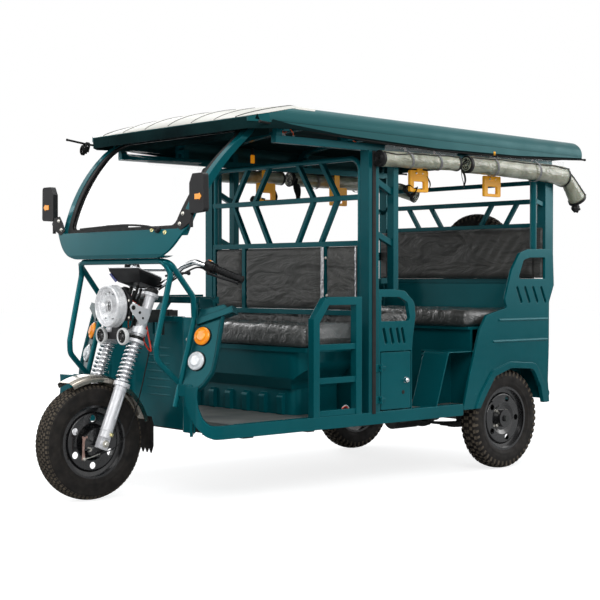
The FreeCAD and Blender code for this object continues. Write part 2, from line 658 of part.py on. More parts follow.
def front_apron():
    """Panel in front of the driver's legs, folded back round the wheel, with low cheeks outside."""
    out, inn = FRONT_AXLE - APRON_FRONT, FRONT_AXLE - APRON_BACK
    t = 12.0
    edge = LEG_Y - GUARD_TUBE - NEAR_FIT
    line = [(out - 8, edge), (out - 8, 270, 30), (inn, 190, 30), (inn, -190, 30), (out - 8, -270, 30), (out - 8, -edge)]
    back = [(out - 8 - t, -edge), (out - 8 - t, -264, 30), (inn - t, -184, 30), (inn - t, 184, 30),
            (out - 8 - t, 264, 30), (out - 8 - t, edge)]
    shape = plan_plate(line + back, SILL_BOTTOM, APRON_TOP)
    cheek = plan_plate([(out - 8 - t, edge - 8), (out - 8, edge - 8), (BAND_NOSE - 34, 432), (BAND_NOSE - 43, 440)],
                       SILL_BOTTOM, 456)
    notch = box(inn - 40, inn + 60, -44, 44, 700, APRON_TOP + 5)
    lip = box(inn, inn + 10, -150, 150, APRON_TOP - 24, APRON_TOP)
    ribs = [rod((out - 10, s * y, 400), (out - 10, s * y, 700), 7) for s in (-1, 1) for y in (290, 325)]
    return cut(fuse([shape, lip] + both(cheek) + ribs), [notch])


LEG_Y = 356.0
BAND_NOSE = FRONT_AXLE - 179
BAND_WALL = 26.0
BAND_START = FRONT_AXLE - 345
THREE_QUARTER = 48.27


def corner_bands():
    """C shaped bands that carry the sills up and inwards to the wings, cut from a bent wall by a slanted outline."""
    nose, back = BAND_NOSE, BAND_START
    wall = plan_plate([(back - 10, HALF), (nose, HALF, 140), (nose, 425), (nose - BAND_WALL, 425),
                       (nose - BAND_WALL, HALF - BAND_WALL, 140 - BAND_WALL), (back - 10, HALF - BAND_WALL)], 200, 600)
    c, s = math.cos(math.radians(THREE_QUARTER)), math.sin(math.radians(THREE_QUARTER))
    toe = -nose * s + 460 * c
    outline = [(240, SILL_BOTTOM), (118, SILL_BOTTOM, 60), (82, 302, 60), (37, 341, 80), (2, 394, 80), (-12, 452, 60),
               (-6, 504), (48, 504), (43, 456, 50), (50, 414, 60), (68, 374, 50), (98, SILL_TOP, 40), (240, SILL_TOP)]
    wire = rounded([((-(toe + p[0]) * s, (toe + p[0]) * c, p[1]), p[2] if len(p) > 2 else None) for p in outline])
    view = V(c, s, 0)
    block = Part.Face(wire).extrude(view * 500)
    block.translate(view * (nose * c + 460 * s - 250))
    tie = box(nose - 38, nose - 22, LEG_Y + GUARD_TUBE + NEAR_FIT, 446, 458, 508)
    return both(wall.common(block).fuse(tie))


WING_SWEEP = 19.0
WING_LEAN = 15.0
WING_BACK = 223.0
DASH_BACK = 392.0
DASH_TOP = 873.0


def wing_frame(shape):
    """Place a plate drawn flat, y outwards and z up, on the swept and leaning wing plane."""
    shape.rotate(V(0, 0, 0), V(0, 1, 0), -WING_LEAN)
    shape.rotate(V(0, 0, 0), V(0, 0, 1), WING_SWEEP)
    shape.translate(V(FRONT_AXLE - WING_BACK, LEG_Y + GUARD_TUBE + 1, 510))
    return shape


def front_wings():
    """Lamp panels each side of the apron with a rolled outer lip and a top rail."""
    t = 10.0
    outline = [(-1.5, -22), (84, -28, 8), (108, 0, 30), (136, 30, 40), (150, 84, 70), (153, 290, 6), (170, 330, 10),
               (150, 345, 10), (31, 318, 8)]
    panel = front_plate(outline, -t, 0)
    lip = bent_rod([(0, 84, -26), (0, 112, 2), (0, 143, 52), (0, 150, 120), (0, 153, 296)], 10, 60)
    rail = bar((-8, 31, 264), (-8, 203, 322), 30, 44)
    left = wing_frame(fuse([panel, lip, rail]))
    back = FRONT_AXLE - DASH_BACK
    top = DASH_TOP
    dash = [bar((back, -390, top - 15), (back, 390, top - 15), 30, 20)]
    for side in (-1, 1):
        dash.append(front_plate([(side * 290, top - 72, 10), (side * 388, top - 72, 10), (side * 388, top - 10, 14),
                                 (side * 290, top - 4, 14)], back + 8, back + 20))
        dash.append(bar((back + 14, side * 374, top - 62), (FRONT_AXLE - 311, side * 374, top - 62), 18, 24))
    return fuse(both(left) + dash).cut([crash_guard(), side_sills()[0], side_sills()[1]])


LAMPS = ((67.6, 204, 41.5), (55.3, 96.3, 42.5))


def side_lamps():
    """Amber and clear round lamps on the wings."""
    shapes = []
    for y, z, radius in LAMPS:
        lamp = rod((NEAR_FIT, y, z), (14, y, z), radius).fuse(rod((12, y, z), (22, y, z), radius * 0.72))
        shapes.append(both(wing_frame(lamp)))
    return shapes


GUARD_TUBE = 12.5


def crash_guard():
    """Two bent tubes each side joined over the top, in front of the fork."""
    x = FRONT_AXLE
    top = COWL_BOTTOM - GUARD_TUBE - NEAR_FIT
    loop = [(x - 226, 352, 500), (x - 114, 335, 612), (x - 112, 335, 670), (x - 182, 343, 972), (x - 162, 318, top)]
    pieces = [bent_rod([(px, -py, pz) for px, py, pz in loop] + list(reversed(loop)), GUARD_TUBE, 45)]
    for side in (-1, 1):
        leg = [(x - 164, 300, top), (x - 175, 348, top - 8), (x - 290, LEG_Y, 872), (x - 295, LEG_Y, 780), (x - 193, LEG_Y, 411)]
        pieces.append(bent_rod([(px, side * py, pz) for px, py, pz in leg], GUARD_TUBE, 40))
    return fuse(pieces)


# Windscreen

def screen_curve(offset, height_low=COWL_TOP - 7, height_high=SCREEN_TOP + 12):
    """Side view arc of the screen moved back by offset, as three points."""
    x = FRONT_AXLE
    low = (x - PILLAR_FOOT_BACK + 18 - offset, height_low)
    mid = (x - 272 - offset * 0.86, (COWL_TOP + SCREEN_TOP) / 2 + 22.5 - offset * 0.5)
    high = (x - PILLAR_TOP_BACK + 10 - offset * 0.55, height_high - offset * 0.3)
    return low, mid, high


def screen_slab(front, back, half, height_low=COWL_TOP - 7, height_high=SCREEN_TOP + 12):
    """Curved slab between two offsets of the screen arc."""
    a = [V(p[0], -half, p[1]) for p in screen_curve(front, height_low, height_high)]
    b = [V(p[0], -half, p[1]) for p in screen_curve(back, height_low, height_high)]
    edges = [Part.Arc(*a).toShape(), Part.makeLine(a[2], b[2]), Part.Arc(b[2], b[1], b[0]).toShape(),
             Part.makeLine(b[0], a[0])]
    return Part.Face(Part.Wire(edges)).extrude(V(0, 2 * half, 0))


def screen_outline(grow, x0=-700, x1=0):
    """Front view of the screen opening grown outwards by grow."""
    low, high = COWL_TOP - grow + 6, SCREEN_TOP + grow * 0.4
    return front_plate([(-408 - grow, low, 30), (408 + grow, low, 30), (478 + grow, high, 60),
                        (-478 - grow, high, 60)], FRONT_AXLE + x0, FRONT_AXLE + x1)


def windscreen():
    """Clear curved screen."""
    return screen_slab(14, 19, 520).common(screen_outline(4))


def screen_seal():
    """Black rubber channel round the screen."""
    ring = screen_slab(6, 27, 560, COWL_TOP - 27, SCREEN_TOP + 18).common(screen_outline(14)).cut(screen_outline(-10))
    return ring.cut(screen_slab(14 - NEAR_FIT, 19 + NEAR_FIT, 520).common(screen_outline(4 + NEAR_FIT)))


def screen_pillars():
    """Painted pillars each side of the screen, from the cowl to the roof."""
    ring = screen_slab(4, 40, 560, COWL_TOP - 37, SCREEN_TOP + 22).common(screen_outline(48)).cut(screen_outline(14 + NEAR_FIT))
    keep = front_plate([(-600, COWL_TOP - 27), (600, COWL_TOP - 27), (600, SCREEN_TOP + 52), (-600, SCREEN_TOP + 52)],
                       FRONT_AXLE - 700, FRONT_AXLE)
    ring = ring.common(keep)
    gap = box(FRONT_AXLE - 700, FRONT_AXLE, -404, 404, COWL_TOP - 57, COWL_TOP + 43)
    return ring.cut(gap)


COWL_BACK = 113.0
COWL_WALL = 12.0
COWL_SHELF = 62.0
COWL_ROUND = 5770.0


def cowl():
    """Bellied panel under the screen: one side outline swept on a wide arc, its lower corners rounded off."""
    x = FRONT_AXLE - COWL_BACK
    t = COWL_WALL
    low, high = COWL_BOTTOM, COWL_TOP + 28
    middle = (low + high) / 2
    outer = [V(x - 24, 0, high), V(x - 5, 0, middle), V(x, 0, low + 16)]
    inner = [V(x - t, 0, low + 16), V(x - t - 5, 0, middle), V(x - t - 24, 0, high)]
    lip = [V(x - 8, 0, low), V(x - COWL_SHELF, 0, low), V(x - COWL_SHELF, 0, low + 10), V(x - t - 4, 0, low + 10)]
    edges = [Part.Arc(*outer).toShape(), Part.Arc(*inner).toShape(), Part.makeLine(inner[2], outer[0])]
    chain = [outer[2]] + lip + [inner[0]]
    edges += [Part.makeLine(a, b) for a, b in zip(chain, chain[1:])]
    face = Part.Face(Part.Wire(Part.__sortEdges__(edges)))
    axis = V(x - COWL_ROUND, 0, 0)
    half_turn = 6.0
    face.rotate(axis, V(0, 0, 1), -half_turn)
    belly = face.revolve(axis, V(0, 0, 1), 2 * half_turn)
    ears = [(-380, low, 210), (380, low, 210), (505, high - 12, 10), (490, high, 6), (452, high, 4), (446, COWL_TOP, 4)]
    ears += [(-y, z, r) for y, z, r in reversed(ears[2:])]
    outline = front_plate(ears, x - 300, x + 50)
    return belly.common(outline).cut([screen_pillars(), screen_seal()])


def mirrors():
    """Black mirrors on short arms beside the pillar feet."""
    x = FRONT_AXLE - 160
    parts = []
    head = front_plate([(524, 1216, 12), (622, 1222, 14), (618, 1378, 14), (545, 1378, 10), (524, 1340, 12)],
                       x - 8, x + 18)
    arm = bent_rod([(x - 8, 470, 1168), (x - 2, 500, 1196), (x, 540, 1236)], 8, 20)
    foot = rod((x - 12, 462, 1160), (x + 4, 478, 1176), 14)
    shape = fuse([head, arm, foot]).cut([screen_pillars(), cowl()])
    return both(shape)


# Cabin frame

def post_at(x0, x1, z0, z1, y_in=545.0):
    return box(x0, x1, y_in, HALF, z0, z1)


def cabin_frame():
    """Side posts, roof rails and the inclined rungs between the posts."""
    rail = RAIL_HEIGHT
    side = [post_at(POST_BACK, POST_FRONT, SILL_TOP, rail),
            post_at(800, 832, PANEL_TOP, rail, 560),
            box(TAIL, TAIL + 64, 545, HALF, 1060, rail),
            rod((-205, 582, 1060), (-205, 582, rail), 17.5)]
    side.append(bar((POST_BACK + 4, 580, 1395), (828, 580, 1345), 22, 26))
    side.append(bar((POST_BACK + 4, 580, 1155), (828, 580, 1112), 22, 26))
    side.append(bar((TAIL + 60, 580, 1330), (-205, 580, 1352), 22, 22))
    side.append(box(TAIL, FRONT_AXLE - PILLAR_TOP_BACK - 40, 560, 592, rail - 2, rail + RAIL_TUBE))
    return both(fuse(side).cut(quarter_panels()))


RAIL_TUBE = 30.0


def roof_bows():
    """Five bows that follow the roof's inner face and stand on the roof rails."""
    foot_z = RAIL_HEIGHT + RAIL_TUBE + NEAR_FIT
    under = roof_solid(ROOF_WALL + NEAR_FIT).cut(roof_solid(ROOF_WALL + NEAR_FIT + 24))
    shell = roof()
    bows = []
    for x in (TAIL, 280.0, 800.0, 1120.0, FRONT_AXLE - PILLAR_TOP_BACK - 76):
        arch = under.common(box(x, x + 34, -700, 700, foot_z, ROOF_CROWN + 78))
        foot = box(x, x + 34, 566, 592, foot_z, foot_z + 40).fuse(box(x, x + 34, 566, 630, foot_z + 26, foot_z + 44))
        bows.append(fuse([arch] + both(foot)).cut(shell))
    return bows


def chevron(x, y_end, y_mid, z_low, z_mid, z_high, thick=20.0):
    lower = bar((x, y_end, z_low), (x, y_mid, z_mid), thick, 22)
    upper = bar((x, y_mid, z_mid), (x, y_end, z_high), thick, 22)
    return [lower, upper]


def partition_grille():
    """Open grille behind the driver, with two nested chevrons on each side."""
    x = PARTITION
    wide = 545.0
    t = GRILLE_BAR
    low, middle, high, top = GRILLE_LOW, GRILLE_MIDDLE, GRILLE_HIGH, RAIL_HEIGHT - GRILLE_DROP
    bars = [bar((x, -wide, z), (x, wide, z), t, t) for z in (low, middle, high)]
    bars.append(bent_rod([(x, -530, middle), (x, -530, top), (x, 530, top), (x, 530, middle)], 13, 60))
    for side in (-1, 1):
        bars.append(bar((x, side * 295, low), (x, side * 295, middle), t, t))
        bars.append(bar((x, side * 533, low), (x, side * 533, middle), t, t))
        bars += chevron(x, side * 265, side * 385, middle, high, top)
        bars += chevron(x, side * 100, side * 220, middle, high, top)
    return fuse(bars)


def partition_pads():
    """Three padded panels laced into the lower grille."""
    x = PARTITION
    shapes = []
    for y0, y1 in ((-520.7, -307.3), (-282.7, 282.7), (307.3, 520.7)):
        shapes.append(plan_plate([(x - 20, y0, 10), (x + 20, y0, 10), (x + 20, y1, 10), (x - 20, y1, 10)],
                                 PAD_BOTTOM, PAD_TOP))
    return shapes


def rear_grille():
    """Slanted bars above the rear backrest, between the rear posts."""
    x = TAIL + 34
    wide = 545.0
    bars = [bar((x, -wide, z), (x, wide, z), 24, 24) for z in (940, 1352)]
    bars.append(bar((x - 10, -wide, RAIL_HEIGHT - 80), (x - 10, wide, RAIL_HEIGHT - 80), 22, 22))
    for side in (-1, 1):
        for y in (395, 225):
            bars.append(bar((x, side * (y - 88), 1225), (x, side * y, 1352), 20, 20))
    bars.append(bar((x, -wide, 1228), (x, wide, 1228), 22, 22))
    return fuse(bars)


# Seats

SEAT_WAIST = 388.0
SEAT_FLARE = 500.0


def driver_seat_base():
    """Moulded box under the driver: wide above, drawn in below by a curved flare, with a ledge and six ribs."""
    x0, x1 = PARTITION + 14, DRIVER_SEAT_FRONT
    low, high = FLOOR_TOP, SEAT_BASE_TOP
    half = [(SEAT_WAIST, low + 118), (SEAT_WAIST + 8, low + 146, 40), (SEAT_WAIST + 46, low + 176, 50),
            (SEAT_FLARE - 8, low + 220, 60), (SEAT_FLARE, high - 20)]
    front = [(-p[0],) + tuple(p[1:]) for p in half] + list(reversed(half))
    plan = plan_plate([(x0, -SEAT_FLARE - 5), (x1, -SEAT_FLARE - 5, 115), (x1, SEAT_FLARE + 5, 115), (x0, SEAT_FLARE + 5)],
                      low, high)
    upper = front_plate(front, x0, x1).common(plan)
    step = side_plate([(x0, low + 100), (x1 - 32, low + 100), (x1 + 1, low + 172, 12), (x1 + 1, high), (x0, high)],
                      -SEAT_FLARE - 5, SEAT_FLARE + 5)
    upper = upper.common(step)
    lower = plan_plate([(x0, -SEAT_WAIST), (x1 - 32, -SEAT_WAIST, 50), (x1 - 32, SEAT_WAIST, 50), (x0, SEAT_WAIST)],
                       low, low + 150)
    ledge = plan_plate([(x0, -533), (x1 + 12, -533, 20), (x1 + 12, 533, 20), (x0, 533)], high - 22, high)
    shapes = [upper, lower, ledge]
    pitch = 125.0
    for i in range(6):
        y = (i - 2.5) * pitch
        shapes.append(side_plate([(x1 - 40, low), (x1 - 14, low, 6), (x1 - 12, low + 82, 14), (x1 - 36, low + 98)],
                                 y - 20, y + 20))
    hollow = box(x0 + 12, x1 - 50, -SEAT_WAIST + 14, SEAT_WAIST - 14, low - 1, high - 34)
    return fuse(shapes).cut(hollow)


def cushion(x0, x1, y0, y1, z0, z1, radius=28.0):
    """Plain rounded seat cushion."""
    block = side_plate([(x0, z0, 6), (x1, z0, 6), (x1, z1, radius), (x0, z1, radius)], y0, y1)
    ends = front_plate([(y0, z0, 6), (y1, z0, 6), (y1, z1, radius), (y0, z1, radius)], x0 - 1, x1 + 1)
    return block.common(ends)


DOOR_BACK = 718.0
DOOR_FRONT = 912.0
DOOR_LOW = 352.0
DOOR_HIGH = 614.0
DOOR_GAP = 5.0
DOOR_THICK = 16.0
HINGE_X = 919.0
HINGE_Y_OUT = 10.0
HINGE_PIN = 3.0
HINGE_HEIGHTS = (400.0, 545.0)


def slot_row(tops, bottoms, z_top, z_low, y0, y1, width=17.0):
    """Slanted rounded slots, one for each pair of stations."""
    tools = []
    for top, low in zip(tops, bottoms):
        a, b = V(top, y0, z_top), V(low, y0, z_low)
        along = (b - a).normalize()
        across = V(along.z, 0, -along.x) * (width / 2)
        pts = [(a + across), (b + across), (b - across), (a - across)]
        tools.append(side_plate([(p.x, p.z, width * 0.45) for p in pts], y0, y1))
    return tools


def bench_side_panels():
    """Side panels of the rear facing bench, with an arm, slots and a door opening."""
    y0, y1 = FACE_IN, HALF
    x1 = POST_BACK
    outline = [(DOOR_PANEL_BACK + 6, SILL_TOP), (x1, SILL_TOP), (x1, PANEL_TOP), (822, PANEL_TOP, 20),
               (756, PANEL_TOP - 8, 30), (692, 842, 40), (684, 780, 30), (DOOR_PANEL_BACK + 2, 666, 20),
               (DOOR_PANEL_BACK + 6, 619, 10)]
    panel = side_plate(outline, y0, y1)
    arm = side_plate([(x1 - 16, 868, 8), (789, 866, 16), (738, 842, 20), (722, 770, 10), (730, 756, 8),
                      (x1 - 16, 756, 8)], y0 - 5, y1 + 5)
    slots = slot_row((896, 852, 809, 776), (876, 832, 790, 757), 726, 652, y0 - 5, y1 + 5)
    plain = panel.cut([arm] + slots)
    door = box(DOOR_BACK - DOOR_GAP, DOOR_FRONT + DOOR_GAP, y0 - 5, y1 + 5, DOOR_LOW - DOOR_GAP, DOOR_HIGH + DOOR_GAP)
    left = plain.cut(door)
    pads = []
    for z in HINGE_HEIGHTS:
        pads.append(box(HINGE_X + 5, HINGE_X + 33, HALF, HALF + 3, z - 18, z + 18))
        pads.append(rod((HINGE_X, HALF + HINGE_Y_OUT, z - 18), (HINGE_X, HALF + HINGE_Y_OUT, z + 18), HINGE_PIN))
        for a, b in ((-18, -6.5), (6.5, 18)):
            pads.append(rod((HINGE_X, HALF + HINGE_Y_OUT, z + a), (HINGE_X, HALF + HINGE_Y_OUT, z + b), 6))
            pads.append(box(HINGE_X, HINGE_X + 10, HALF, HALF + HINGE_Y_OUT, z + a, z + b))
    left = fuse([left] + pads)
    return left, mirrored(plain)


def battery_door():
    """Small door over the batteries, hinged at its front edge."""
    leaf = side_plate([(DOOR_BACK, DOOR_LOW, 6), (DOOR_FRONT, DOOR_LOW, 6), (DOOR_FRONT, DOOR_HIGH, 6),
                       (DOOR_BACK, DOOR_HIGH, 6)], HALF - DOOR_THICK, HALF)
    knob = rod((752, HALF, 482), (752, HALF + 12, 482), 12)
    parts = [leaf, knob]
    for z in HINGE_HEIGHTS:
        parts.append(box(DOOR_FRONT - 26, DOOR_FRONT, HALF, HALF + 6, z - 6, z + 6))
        parts.append(box(DOOR_FRONT - 1, HINGE_X, HALF + 3, HALF + 6, z - 6, z + 6))
        parts.append(rod((HINGE_X, HALF + HINGE_Y_OUT, z - 6), (HINGE_X, HALF + HINGE_Y_OUT, z + 6), 6))
    shape = fuse(parts)
    bores = [rod((HINGE_X, HALF + HINGE_Y_OUT, z - 20), (HINGE_X, HALF + HINGE_Y_OUT, z + 20),
                 HINGE_PIN + RUNNING_FIT) for z in HINGE_HEIGHTS]
    return shape.cut(bores)


def bench_base():
    """Box under the rear facing bench."""
    x0, x1 = DOOR_PANEL_BACK + 8, PARTITION - 14
    y = HALF - SILL_WIDTH - NEAR_FIT
    shell = box(x0, x1, -y, y, FLOOR_TOP, BENCH_TOP)
    inside = box(x0 + 12, x1 - 12, -y - 1, y + 1, FLOOR_TOP - 1, BENCH_TOP - 14)
    posts = both(box(POST_BACK - NEAR_FIT, POST_FRONT, 545 - NEAR_FIT, HALF, 0, 2000))
    return shell.cut([inside] + posts)


LADDER_TUBE = 36.0


def ladder_guards():
    """Tubular side guards beside the driver's seat, with two rungs."""
    y = HALF - LADDER_TUBE / 2
    t = LADDER_TUBE
    x0, x1 = LADDER_BACK + t / 2, LADDER_FRONT - t / 2
    top = 852.0
    pieces = [bar((x0, y, SILL_TOP), (x0, y, top + t / 2), t, t),
              bar((x1, y, SILL_TOP), (x1, y, 776), t, t),
              bar((x0 - t / 2, y, top), (1246, y, top), t, t),
              bar((1240, y, top + 4), (x1, y, 764), t, t)]
    for z in (649, 502, SILL_TOP + 13):
        pieces.append(bar((x0, y, z), (x1, y, z), 26, 26))
    return both(fuse(pieces))


WHEEL_BOX_IN = 425.0
ARCH = [(-262, 318), (-240, 400, 20), (-180, 495, 50), (-4, 506, 60), (120, 470, 50), (196, 370, 20), (236, 312)]


def rear_seat_base():
    """Front of the rear bench with pressed louvres, its sides and top board."""
    x = REAR_SEAT_FRONT
    y = 560.0
    front = box(x - 12, x, -y, y, FLOOR_TOP, BENCH_TOP)
    top = box(TAIL + 50, x + 18, -y, y, BENCH_TOP - 14, BENCH_TOP)
    louvres = []
    for i in range(5):
        zc = 505 + 21 * i
        louvres.append(side_plate([(x - 4, zc - 5), (x + 8, zc - 5, 2), (x - 4, zc + 8)], 234, 351))
    front = front.cut([rod((0, s * WHEEL_BOX_IN, TYRE_RADIUS), (0, s * HALF, TYRE_RADIUS), TYRE_RADIUS + 10)
                       for s in (-1, 1)])
    legs = [box(TAIL + 50, x - 12, s * (WHEEL_BOX_IN - 30) - 6, s * (WHEEL_BOX_IN - 30) + 6, RAIL_TOP, BENCH_TOP)
            for s in (-1, 1)]
    return fuse([front, top] + louvres + legs)


def wheel_boxes():
    """Sheet housings over the rear wheels, reaching forward as a step."""
    back = TAIL + 44 + NEAR_FIT
    out = HALF - QUARTER_WALL - NEAR_FIT
    outline = [(back, FLOOR_TOP), (back, 560, 30), (-200, 598, 30), (229, 598, 20), (440, 598, 14), (528, FLOOR_TOP)]
    outer = side_plate(outline, WHEEL_BOX_IN, out)
    inner = side_plate([(back + SHEET, FLOOR_TOP - 2), (back + SHEET, 556, 28), (-200, 598 - SHEET, 28),
                        (229, 598 - SHEET, 18), (436, 598 - SHEET, 12), (522, FLOOR_TOP - 2)],
                       WHEEL_BOX_IN + SHEET, HALF)
    arch = rod((0, WHEEL_BOX_IN - 5, TYRE_RADIUS), (0, WHEEL_BOX_IN + SHEET + 5, TYRE_RADIUS), 112)
    return both(outer.cut([inner, arch, side_sills()[0]]))


def quarter_outline():
    return [(-344, 1105, 10), (-353, 919, 10), (-314, 832, 30), (-313, 610), (-306, 430), (-318, 318, 4), (-262, 318),
            (-240, 400, 20), (-180, 495, 50), (-4, 506, 60), (120, 470, 50), (196, 370, 20), (222, 316), (348, 316, 6),
            (301, 484, 20), (228, 701, 20), (176, 773, 30), (20, 806, 10), (38, 845, 30), (-14, 995, 40),
            (-77, 1081, 40), (-140, 1100, 40)]


def quarter_panels():
    """Rear side panels with the arched wheel opening, a seat arm and slanted slots."""
    y0, y1 = HALF - QUARTER_WALL, HALF
    panel = side_plate(quarter_outline(), y0, y1)
    arm = side_plate([(-69, 958, 10), (-108, 1046, 20), (-156, 1058, 20), (-280, 1060, 8), (-280, 950, 8),
                      (-80, 950, 8)], y0 - 5, y1 + 20)
    slots = slot_row((-54, -117, -181, -246), (-94, -157, -222, -287), 912, 828, y0 - 5, y1 + 20)
    flare = [(p[0], p[1], p[2] if len(p) > 2 else 0) for p in ARCH]
    outer = [(-290, 318), (-272, 410, 20), (-200, 522, 50), (0, 536, 60), (136, 498, 50), (226, 388, 20), (262, 318)]
    lip = side_plate(outer, y1 - 4, y1 + 9).cut(side_plate([(p[0], p[1] - 1, p[2]) for p in flare], y1 - 8, y1 + 20))
    ribs = []
    for z, x1, x0 in ((745, 85, -300), (640, 130, -300)):
        ribs.append(rod((x0, y1 - 1, z), (x1, y1 - 1, z), 6))
    return fuse([panel, lip] + ribs).cut([arm] + slots)


def tail_panel():
    """Rear wall below the backrest, with a bumper roll along its foot."""
    y = FACE_IN - 1
    wall = box(TAIL + 32, TAIL + 44, -y, y, SILL_BOTTOM + 60, 925)
    roll = rod((TAIL + 21, -y, SILL_BOTTOM + 70), (TAIL + 21, y, SILL_BOTTOM + 70), 22)
    frame = [box(TAIL + 12, TAIL + 34, s * 400 - 60, s * 400 + 60, 560, 700) for s in (-1, 1)]
    holes = [rod((TAIL + 10, y, 620), (TAIL + 50, y, 620), 3.5) for y in (-80, 80)]
    return fuse([wall, roll] + frame).cut(holes)


def tail_lamps():
    shapes = []
    for side in (-1, 1):
        x = TAIL + 12 - NEAR_FIT
        shapes.append(front_plate([(side * 345, 566, 10), (side * 455, 566, 10), (side * 455, 694, 10),
                                   (side * 345, 694, 10)], x - 16, x))
    return shapes


# Roof

def roof_solid(inset):
    """Crossing of the end, side and plan views of the roof, each moved in by inset."""
    nose = FRONT_AXLE - ROOF_NOSE_BACK - inset
    tail = TAIL - ROOF_TAIL + inset
    half = ROOF_WIDTH / 2 - inset
    crown = ROOF_CROWN - inset
    low = ROOF_EDGE - 2 * inset
    shoulder = crown - 40
    side_low = crown - 118
    wall_low = ROOF_EDGE - 80

    def point(y, z):
        return V(tail - 20, y, z)
    right = Part.Arc(point(half, side_low), point(half - 13, side_low + 52), point(half - 55, shoulder)).toShape()
    top = Part.Arc(point(half - 55, shoulder), point(0, crown), point(-half + 55, shoulder)).toShape()
    left = Part.Arc(point(-half + 55, shoulder), point(-half + 13, side_low + 52), point(-half, side_low)).toShape()
    foot = Part.makePolygon([point(-half, side_low), point(-half, wall_low), point(half, wall_low),
                             point(half, side_low)])
    section = Part.Wire([right, top, left] + foot.Edges)
    length = nose - tail + 40
    end = Part.Face(section).extrude(V(length, 0, 0))
    end.rotate(V(nose - 500, 0, crown), V(0, 1, 0), -ROOF_FALL)

    bottom = Part.Arc(V(tail, -700, low + 22), V(500, -700, low), V(nose, -700, low + 52)).toShape()
    slope = Part.Arc(V(nose, -700, ROOF_EDGE + 72 - inset), V(nose - 230, -700, crown - 46),
                     V(nose - 560, -700, crown + 30)).toShape()
    rear = Part.Arc(V(tail + 90, -700, crown + 30), V(tail + 24, -700, crown - 34), V(tail, -700, side_low)).toShape()
    lines = [Part.makeLine(V(nose, -700, low + 52), V(nose, -700, ROOF_EDGE + 72 - inset)),
             Part.makeLine(V(nose - 560, -700, crown + 30), V(tail + 90, -700, crown + 30)),
             Part.makeLine(V(tail, -700, side_low), V(tail, -700, low + 22))]
    outline = Part.Wire(Part.__sortEdges__([bottom, slope, rear] + lines))
    side = Part.Face(outline).extrude(V(0, 1400, 0))
    plan = plan_plate([(tail - 5, -half - 5), (nose - 70, -half - 5), (nose + 5, -half + 66), (nose + 5, half - 66),
                       (nose - 70, half + 5), (tail - 5, half + 5)], ROOF_EDGE - 90, crown + 60)
    return end.common(side).common(plan)


def roof():
    """Thin moulded roof with rounded sides, open below."""
    shell = roof_solid(0).cut(roof_solid(ROOF_WALL))
    return shell


def roof_rods():
    """Dark rods under both roof edges that carry the side curtains and stick out at the ends."""
    y = ROOF_WIDTH / 2 - ROOF_WALL / 2
    drop = 5 + NEAR_FIT
    tail, nose = TAIL - ROOF_TAIL, FRONT_AXLE - ROOF_NOSE_BACK
    start, middle, end = V(tail, y, ROOF_EDGE + 22 - drop), V(500, y, ROOF_EDGE - drop), V(nose, y, ROOF_EDGE + 52 - drop)
    bow = Part.Arc(start, middle, end)
    stub_back = Part.makeLine(V(-REAR_OVERHANG, y, start.z), start)
    edge = bow.toShape()
    out = edge.tangentAt(edge.LastParameter)
    stub_front = Part.makeLine(end, end + out * 110)
    left = []
    for piece in (stub_back, edge, stub_front):
        first = piece.valueAt(piece.FirstParameter)
        ring = Part.Wire(Part.makeCircle(5, first, piece.tangentAt(piece.FirstParameter)))
        left.append(Part.Wire(piece).makePipeShell([ring], True, False))
    return both(fuse(left))


ROLL_DROP = 66.0
GRIP_DROP = 70.0


def curtain_rolls():
    """Side curtains rolled up under the roof edge, two rolls on each side."""
    small, large = 36.0, 40.0
    y_small, y_large = HALF + small + NEAR_FIT, HALF + large + NEAR_FIT
    z = ROOF_EDGE - ROLL_DROP
    front = rod((440, y_small, z + 8), (958, y_small, z), small)
    rear = bent_rod([(372, y_large, z + 10), (-400, y_large, z), (-480, y_large - 40, z - 50),
                     (-510, y_large - 140, z - 140)], large, 90)
    return both(front) + both(rear)


def hand_grips():
    """Strap handles that hang from the roof rail."""
    shapes = []
    top = RAIL_HEIGHT - GRIP_DROP
    low = top - 102
    for x in (620.0, 90.0):
        body = side_plate([(x - 62, low, 8), (x + 62, low, 8), (x + 62, top, 8), (x - 62, top, 8)], 548, 562)
        hole = side_plate([(x - 36, low + 14, 6), (x + 36, low + 14, 6), (x + 36, low + 50, 6), (x - 36, low + 50, 6)],
                          540, 570)
        strap = box(x - 18, x + 18, 562, 566, top - 20, RAIL_HEIGHT - 2 - NEAR_FIT)
        shapes += both(body.cut(hole).fuse(strap))
    return shapes


# Spare wheel and small pieces

def spare_wheel():
    """Spare tyre and rim upright behind the rear grille."""
    x = TAIL - 100
    z = 1060.0
    t = tyre(0.0, 0.0)
    r = rim(0.0, 0.0, 1, 44, REAR_SPINDLE_RADIUS + NEAR_FIT, -20, 30, 5)
    shapes = []
    for shape in (t, r):
        shape.translate(V(0, 0, -TYRE_RADIUS))
        shape.rotate(V(0, 0, 0), V(0, 0, 1), 90)
        shape.translate(V(x, 0, z))
        shapes.append(shape)
    return shapes


def spare_carrier():
    x = TAIL + 12
    post = box(x - 20, x + 10, -20, 20, 900, 1240)
    stud = rod((x - 20, 0, 1060), (x - 150, 0, 1060), REAR_SPINDLE_RADIUS)
    foot = box(x - 20, x + 20, -60, 60, 900, 925)
    return fuse([post, stud, foot])


def foot_pedal():
    x = FRONT_AXLE - 430
    plate = side_plate([(x, FLOOR_TOP + 70, 3), (x + 50, FLOOR_TOP + 100, 3), (x + 46, FLOOR_TOP + 108, 3),
                        (x - 4, FLOOR_TOP + 78, 3)], -190, -120)
    stem = bar((x + 22, -155, FLOOR_TOP), (x + 22, -155, FLOOR_TOP + 88), 14, 14)
    return plate.fuse(stem)


